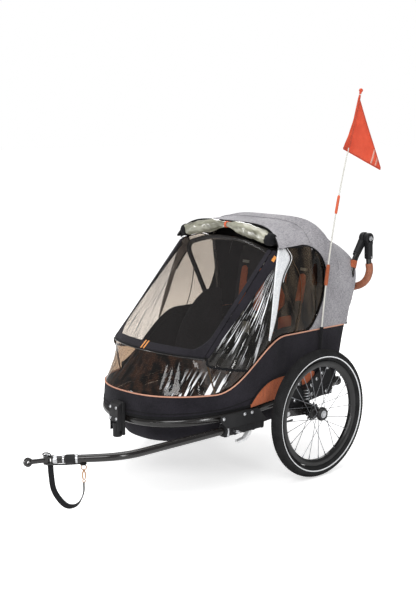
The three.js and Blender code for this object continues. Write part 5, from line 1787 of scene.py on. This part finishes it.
def build_strap():
    """The safety strap: webbing from the bar's end down in a wide loop and up to a snap hook."""
    corners = [(137, -1052, 212), (138, -1051, 176), (142, -1046, 112), (170, -1015, 56), (198, -986, 62),
               (214, -969, 104), (214, -969, 146)]
    path = resample(rounded(corners, 34, 8), 90)
    count = len(path)
    rows = []
    normal = unit(np.array((0.68, 0.73, 0)))
    for i, point in enumerate(path):
        along = unit(path[min(i + 1, count - 1)] - path[max(i - 1, 0)])
        normal = unit(normal - (normal @ along) * along)
        twist = 1.35 * smoothstep(i / count, 0.50, 0.80) + 0.12 * math.sin(i / count * 9)
        across = np.cross(along, normal)
        first = normal * math.cos(twist) + across * math.sin(twist)
        second = across * math.cos(twist) - normal * math.sin(twist)
        width = 20 - 6 * smoothstep(i / count, 0.8, 1.0)
        section = pill(width, 2.2, 20, 8)
        rows.append(point + section[:, :1] * first + section[:, 1:] * second)
    piece("strap_webbing", "drawbar", grid(rows, wrap=True, caps=True), WEBBING,
          ["safety_strap"])
    stitch_rows = []
    for edge in (2, 12):
        for start in range(6, 60, 4):
            a, b = rows[start][edge], rows[start + 2][edge]
            stitch_rows.append(rod(a * 0.75 + path[start] * 0.25, b * 0.75 + path[start + 2] * 0.25, 1.3,
                                   6))
    piece("strap_stitching", "drawbar", merged(*stitch_rows), LINING)
    tail = resample(rounded([(139, -1050, 209), (160, -1026, 208), (190, -992, 210), (212, -968, 213)], 14,
                            6), 30)
    piece("hook_tether", "drawbar", sweep(tail, pill(3.4, 9, 12)), WEBBING)
    keeper = sweep([(207, -974, 215), (208, -973, 212), (216, -964, 212), (217, -963, 215)],
                   pill(14, 9, 16), up=Z_AXIS)
    piece("tether_keeper", "drawbar", keeper, CABLE_RUBBER)
    build_hook()


def build_hook():
    """A copper-plated snap hook on a ring, with its swivel eye below for the strap."""
    centre = np.array((214, -968, 170))
    across = unit(np.array((0.68, 0.73, 0)))
    hook = []
    for k in range(60):
        angle = (k / 59 * 1.7 - 0.35) * math.pi
        hook.append(centre + across * 5.2 * math.cos(angle) + Z_AXIS * 15 * math.sin(angle))
    thick = [0.5 + 0.5 * math.sin(min(1, k / 18) * math.pi / 2) for k in range(60)]
    shapes = [sweep(hook, circle(2.4, 16), scale=thick)]
    for height, radius, wire in ((-26 + 6, 4.6, 1.5), (29, 9, 1.7)):
        ring = [centre + across * radius * math.sin(a) + Z_AXIS * (height + radius * math.cos(a))
                for a in np.linspace(0, 2 * math.pi, 41)]
        shapes.append(sweep(ring[:-1], circle(wire, 12), closed=True))
    shapes.append(turned([(2, 0), (4, 1), (4, 4), (2, 5)], centre + (0, 0, 14), Z_AXIS, 24))
    shapes.append(rod(centre + across * 5 - (0, 0, 11), centre + across * 5.4 + (0, 0, 8), 1.3, 12))
    piece("hook_casting", "drawbar", merged(*shapes), BRASS, ["snap_hook"])


# ---------------------------------------------------------------- front bracket, pedal and flag

def build_bracket():
    """The nose clamp that takes a stroller wheel: two shells round the rail, four bolts and a socket."""
    low, _ = span("front_bracket")
    back_plate = plate([(-639, 206), (-639, 330), (-645, 334), (-652, 334), (-652, 206)], -28, 28)
    shell = plate([(-652, 256), (-652, 334), (-666, 328), (-674, 314), (-674, 262), (-668, 254)], -26, 26)
    socket = turned([(9.2, 0), (15.5, 0), (17, 2), (17, 40), (18, 42), (18, 52), (16, 55), (9.2, 55)],
                    (0, -656, low[2]), Z_AXIS, 40)
    bore = turned([(9.2, 0), (9.4, 0), (9.4, 90), (1, 90)], (0, -656, low[2] + 1), Z_AXIS, 32)
    ribs = [plate([(-672, 224), (-652, 224), (-652, 258), (-672, 258)], x - 2, x + 2) for x in (-22, 22)]
    piece("nose_clamp", "chassis", merged(back_plate, shell, *ribs), PLASTIC,
          ["front_bracket"],
          bevel=2)
    piece("nose_socket", "chassis", merged(socket, bore), PLASTIC, bevel=0.6)
    bolts = [bolt_head((x, low[1] + 4, z), -Y_AXIS, 5.8, 3.8) for x in (-17, 17) for z in (272, 314)]
    piece("nose_bolts", "chassis", merged(*bolts), STEEL)


def build_pedal():
    side = [(232, 300), (246, 299), (296, 312), (295, 320), (244, 312), (231, 313)]
    body = plate(side, -20, 20)
    places = ((258, 315.8), (268, 317.6), (278, 319.4), (288, 321))
    treads = [rod((-17, y, z), (17, y, z), 1.6, 10) for y, z in places]
    piece("pedal_pad", "brake_pedal", merged(body, *treads), COPPER_PLASTIC,
          ["brake_pedal"],
          bevel=1.5)


def pole_line():
    """The pole's centre line: upright in its socket, leaning back more above one long bend."""
    down = FLAG_CORNER + unit(FLAG_BASE - FLAG_CORNER) * FLAG_BEND
    up = FLAG_CORNER + unit(FLAG_TOP - FLAG_CORNER) * FLAG_BEND
    bend = [down * (1 - t) ** 2 + FLAG_CORNER * 2 * t * (1 - t) + up * t * t for t in np.linspace(0, 1, 60)]
    return resample([FLAG_BASE, *bend, FLAG_TOP], 401)


POLE = pole_line()
POLE_JOINT = 0.555
POLE_WRAP = (0.245, 0.325)
HOIST = (0.775, 0.985)
FLAG_TIP = np.array((338, 435, 1163))
FLAG_LOW_CORNER = np.array((338, 200, 1254))
FLAG_HIGH_CORNER = np.array((338, 281, 1412))


def on_pole(share):
    place = np.clip(share, 0, 1) * (len(POLE) - 1)
    low = min(int(place), len(POLE) - 2)
    return POLE[low] + (POLE[low + 1] - POLE[low]) * (place - low)


def pole_stretch(start, end, count=40):
    return [on_pole(share) for share in np.linspace(start, end, count)]


def swollen(count):
    """Sizes along a sleeve that draws in at both of its ends."""
    return [0.8, *[1.0] * (count - 2), 0.8]


def build_flag():
    piece("pole_lower", "flag_lower", tube(pole_stretch(0, POLE_JOINT - 0.001), 3.1, 16), FIBREGLASS,
          ["flag_pole_lower"])
    piece("pole_upper", "flag_upper", tube(pole_stretch(POLE_JOINT + 0.001, 0.997), 3.1, 16), FIBREGLASS,
          ["flag_pole_upper"])
    wrap = sweep(pole_stretch(*POLE_WRAP, 14), circle(7.3, 24), scale=swollen(14))
    piece("pole_wrap", "flag_lower", wrap, COPPER_FABRIC)
    ferrule = sweep(pole_stretch(POLE_JOINT - 0.035, POLE_JOINT + 0.035, 14), circle(5.5, 24),
                    scale=swollen(14))
    piece("pole_ferrule", "flag_lower", ferrule, COPPER_PLASTIC, ["flag_ferrule"])
    top_way = unit(FLAG_TOP - FLAG_CORNER)
    ball = [(8 * math.cos(a), 8 * math.sin(a)) for a in np.linspace(-0.9, 1.5, 14)]
    cap = [(3.2, -15), (4.6, -14), *ball]
    piece("pole_cap", "flag_upper", turned(cap, FLAG_TOP, top_way, 28), FLAG_HEM)
    socket = [(4.2, 0), (6.2, 0.4), (6.5, 2), (6.5, 88), (7.4, 90), (7.4, 97), (6.4, 99), (4.2, 99)]
    foot_way = unit(FLAG_CORNER - FLAG_BASE)
    piece("pole_sleeve", "chassis", turned(socket, FLAG_BASE - foot_way * 12, foot_way, 28), WEBBING,
          ["flag_socket"])
    build_pennant()


def pennant_point(up, out):
    """A point of the pennant: up from its foot to its head, and out from the pole, with a slight wave."""
    foot = on_pole(HOIST[0])
    head = on_pole(HOIST[1])
    hoist = foot + (head - foot) * up
    half = FLAG_LOW_CORNER + (FLAG_HIGH_CORNER - FLAG_LOW_CORNER) * up
    knee = 0.12 + 0.06 * up
    if out < knee:
        point = hoist + (half - hoist) * (out / knee) * (0.35 + 0.65 * (1 - up))
    else:
        start = hoist + (half - hoist) * (0.35 + 0.65 * (1 - up))
        point = start + (FLAG_TIP - start) * (out - knee) / (1 - knee)
    wave = 2.6 * math.sin(out * 7.5 + up * 1.2) * out * (1.2 - out)
    return point + np.array((wave, 0, 0))


def build_pennant():
    rows = [[pennant_point(up, out) for out in np.linspace(0, 0.992, 56)]
            for up in np.linspace(0.0, 1.0, 34)]
    cloth = sheet("pennant_cloth", "flag_pennant", grid(rows), FLAG_CLOTH, 0.9,
                  ["flag_pennant"],
                  levels=0)
    bake_modifiers(cloth)
    hems = []
    for up in (0.0, 1.0):
        edge = [pennant_point(up, out) for out in np.linspace(0.0, 0.985, 44)]
        hems.append(sweep(edge, pill(6.5, 1.9, 10), up=unit(FLAG_TOP - FLAG_CORNER)))
    sleeve = sweep(pole_stretch(HOIST[0], HOIST[1] - 0.004, 16), pill(10.4, 8.4, 20, 2.4), up=Y_AXIS,
                   scale=swollen(16))
    piece("pennant_hems", "flag_pennant", merged(*hems, sleeve), FLAG_HEM)
    stripes = []
    for low in (0.74, 0.84):
        for side in (-1, 1):
            rows = []
            for up in np.linspace(0.05, 0.95, 12):
                rows.append([pennant_point(up, out) + (side * 0.75, 0, 0)
                             for out in np.linspace(low, low + 0.035, 3)])
            stripes.append(grid(rows))
    made = sheet("pennant_stripes", "flag_pennant", merged(*stripes), FLAG_STRIPE, 0.35,
                 levels=0)
    bake_modifiers(made)


# ---------------------------------------------------------------- studio

CAMERA_PLACE = (3.202, -2.7815, 1.404)
CAMERA_AZIMUTH = math.radians(47.5)
CAMERA_PITCH = math.radians(9.9)
CAMERA_LENS = 66.2
CAMERA_SENSOR = 36.0
FLOOR_HALF_SIZE = 30.0
# The floor glows less near the trailer than far from it: the difference is a painted shadow.
FLOOR_NEAR_GLOW = 0.49
FLOOR_FAR_GLOW = 0.15
SOFTBOXES = (
    ("key", (2.4, -3.6, 3.8), (0, 0, 0.4), 2.6, 2.0, 88),
    ("top", (-0.3, 0.4, 4.2), (0, 0, 0.5), 3.2, 3.2, 80),
    ("side_strip", (4.0, -0.9, 1.5), (0.3, 0.1, 0.6), 0.5, 2.2, 40),
    ("low_front", (1.5, -4.3, 0.45), (0.1, -0.4, 0.3), 3.2, 0.25, 15),
    ("front_strip", (-3.2, -3.6, 1.2), (0, -0.3, 0.5), 0.5, 2.4, 50),
    ("rim", (-2.6, 3.2, 2.6), (0, 0, 0.6), 1.6, 1.6, 45),
)


def build_world():
    """White for the camera, softer for everything else, so that dark gloss keeps its contrast."""
    world = bpy.data.worlds.new("studio")
    world.use_nodes = True
    bpy.context.scene.world = world
    tree = world.node_tree
    path = tree.nodes.new("ShaderNodeLightPath")
    seen = tree.nodes["Background"]
    set_glow(seen, 0.50)
    for ray, strength in (("Is Glossy Ray", 0.26), ("Is Camera Ray", 1.0)):
        glow = tree.nodes.new("ShaderNodeBackground")
        set_glow(glow, strength)
        chosen = tree.nodes.new("ShaderNodeMixShader")
        for socket, source in ((0, path.outputs[ray]), (1, seen.outputs[0]), (2, glow.outputs[0])):
            tree.links.new(source, chosen.inputs[socket])
        seen = chosen
    tree.links.new(seen.outputs[0], tree.nodes["World Output"].inputs["Surface"])


def set_glow(background, strength):
    background.inputs["Color"].default_value = (*WHITE, 1)
    background.inputs["Strength"].default_value = strength


def build_floor_plane():
    """A pale floor that glows for the camera: white far away, and less glow near the trailer as a painted
    shadow over its soft real shadow.
    """
    data = bpy.data.meshes.new("floor")
    size = FLOOR_HALF_SIZE
    data.from_pydata([(-size, -size, 0), (size, -size, 0), (size, size, 0), (-size, size, 0)], [],
                     [(0, 1, 2, 3)])
    floor = bpy.data.objects.new("floor", data)
    bpy.context.scene.collection.objects.link(floor)
    surface = Surface("pale_floor", (0.90, 0.90, 0.90), 0.9)
    surface.set("Specular IOR Level", 0.1)
    surface.set("Emission Color", (*WHITE, 1))
    seen = surface.node("LightPath").outputs["Is Camera Ray"]
    x, y, _ = surface.axes()
    # Painted shadow: the glow rises from 0.5 m to 1.9 m out from the origin, so the floor is greyer near the
    # trailer.
    far = surface.between(surface.distance(x, y), 0.5, 1.9)
    glow = surface.math("ADD", surface.product(far, FLOOR_FAR_GLOW), FLOOR_NEAR_GLOW)
    surface.set("Emission Strength", surface.product(seen, glow))
    data.materials.append(surface.material)


def softbox(name, place, target, width, height, power):
    """A rectangular lamp, its place and target in metres and its power in watts."""
    light = bpy.data.lights.new(name, "AREA")
    light.shape = "RECTANGLE"
    light.size = width
    light.size_y = height
    light.energy = power
    made = bpy.data.objects.new(name, light)
    made.location = place
    made.rotation_euler = (Vector(target) - Vector(place)).to_track_quat("-Z", "Y").to_euler()
    made.visible_camera = False
    bpy.context.scene.collection.objects.link(made)


def build_lights():
    for lamp in SOFTBOXES:
        softbox(*lamp)


def build_camera():
    data = bpy.data.cameras.new("camera")
    data.lens = CAMERA_LENS
    data.sensor_width = CAMERA_SENSOR
    camera = bpy.data.objects.new("camera", data)
    camera.location = CAMERA_PLACE
    back = Vector((math.sin(CAMERA_AZIMUTH) * math.cos(CAMERA_PITCH),
                   -math.cos(CAMERA_AZIMUTH) * math.cos(CAMERA_PITCH), math.sin(CAMERA_PITCH)))
    camera.rotation_euler = (-back).to_track_quat("-Z", "Y").to_euler()
    bpy.context.scene.collection.objects.link(camera)
    bpy.context.scene.camera = camera


# ---------------------------------------------------------------- assembly

build_rails()
build_floor()
build_skirt()
build_side_pockets()
build_front_window()
build_seats()
build_hood()
build_curtain()
build_roll()
build_hoops()
build_handle()
for side_word, side_sign in SIDES:
    build_side_window(side_word, side_sign)
    build_low_seam(side_word, side_sign)
    build_tyre(side_word, side_sign)
    build_rim(side_word, side_sign)
    build_axle(side_word, side_sign)
    build_suspension(side_word, side_sign)
build_receiver()
build_drawbar()
build_strap()
build_bracket()
build_pedal()
build_flag()
build_world()
build_floor_plane()
build_lights()
build_camera()
bpy.context.scene.view_settings.view_transform = "Standard"
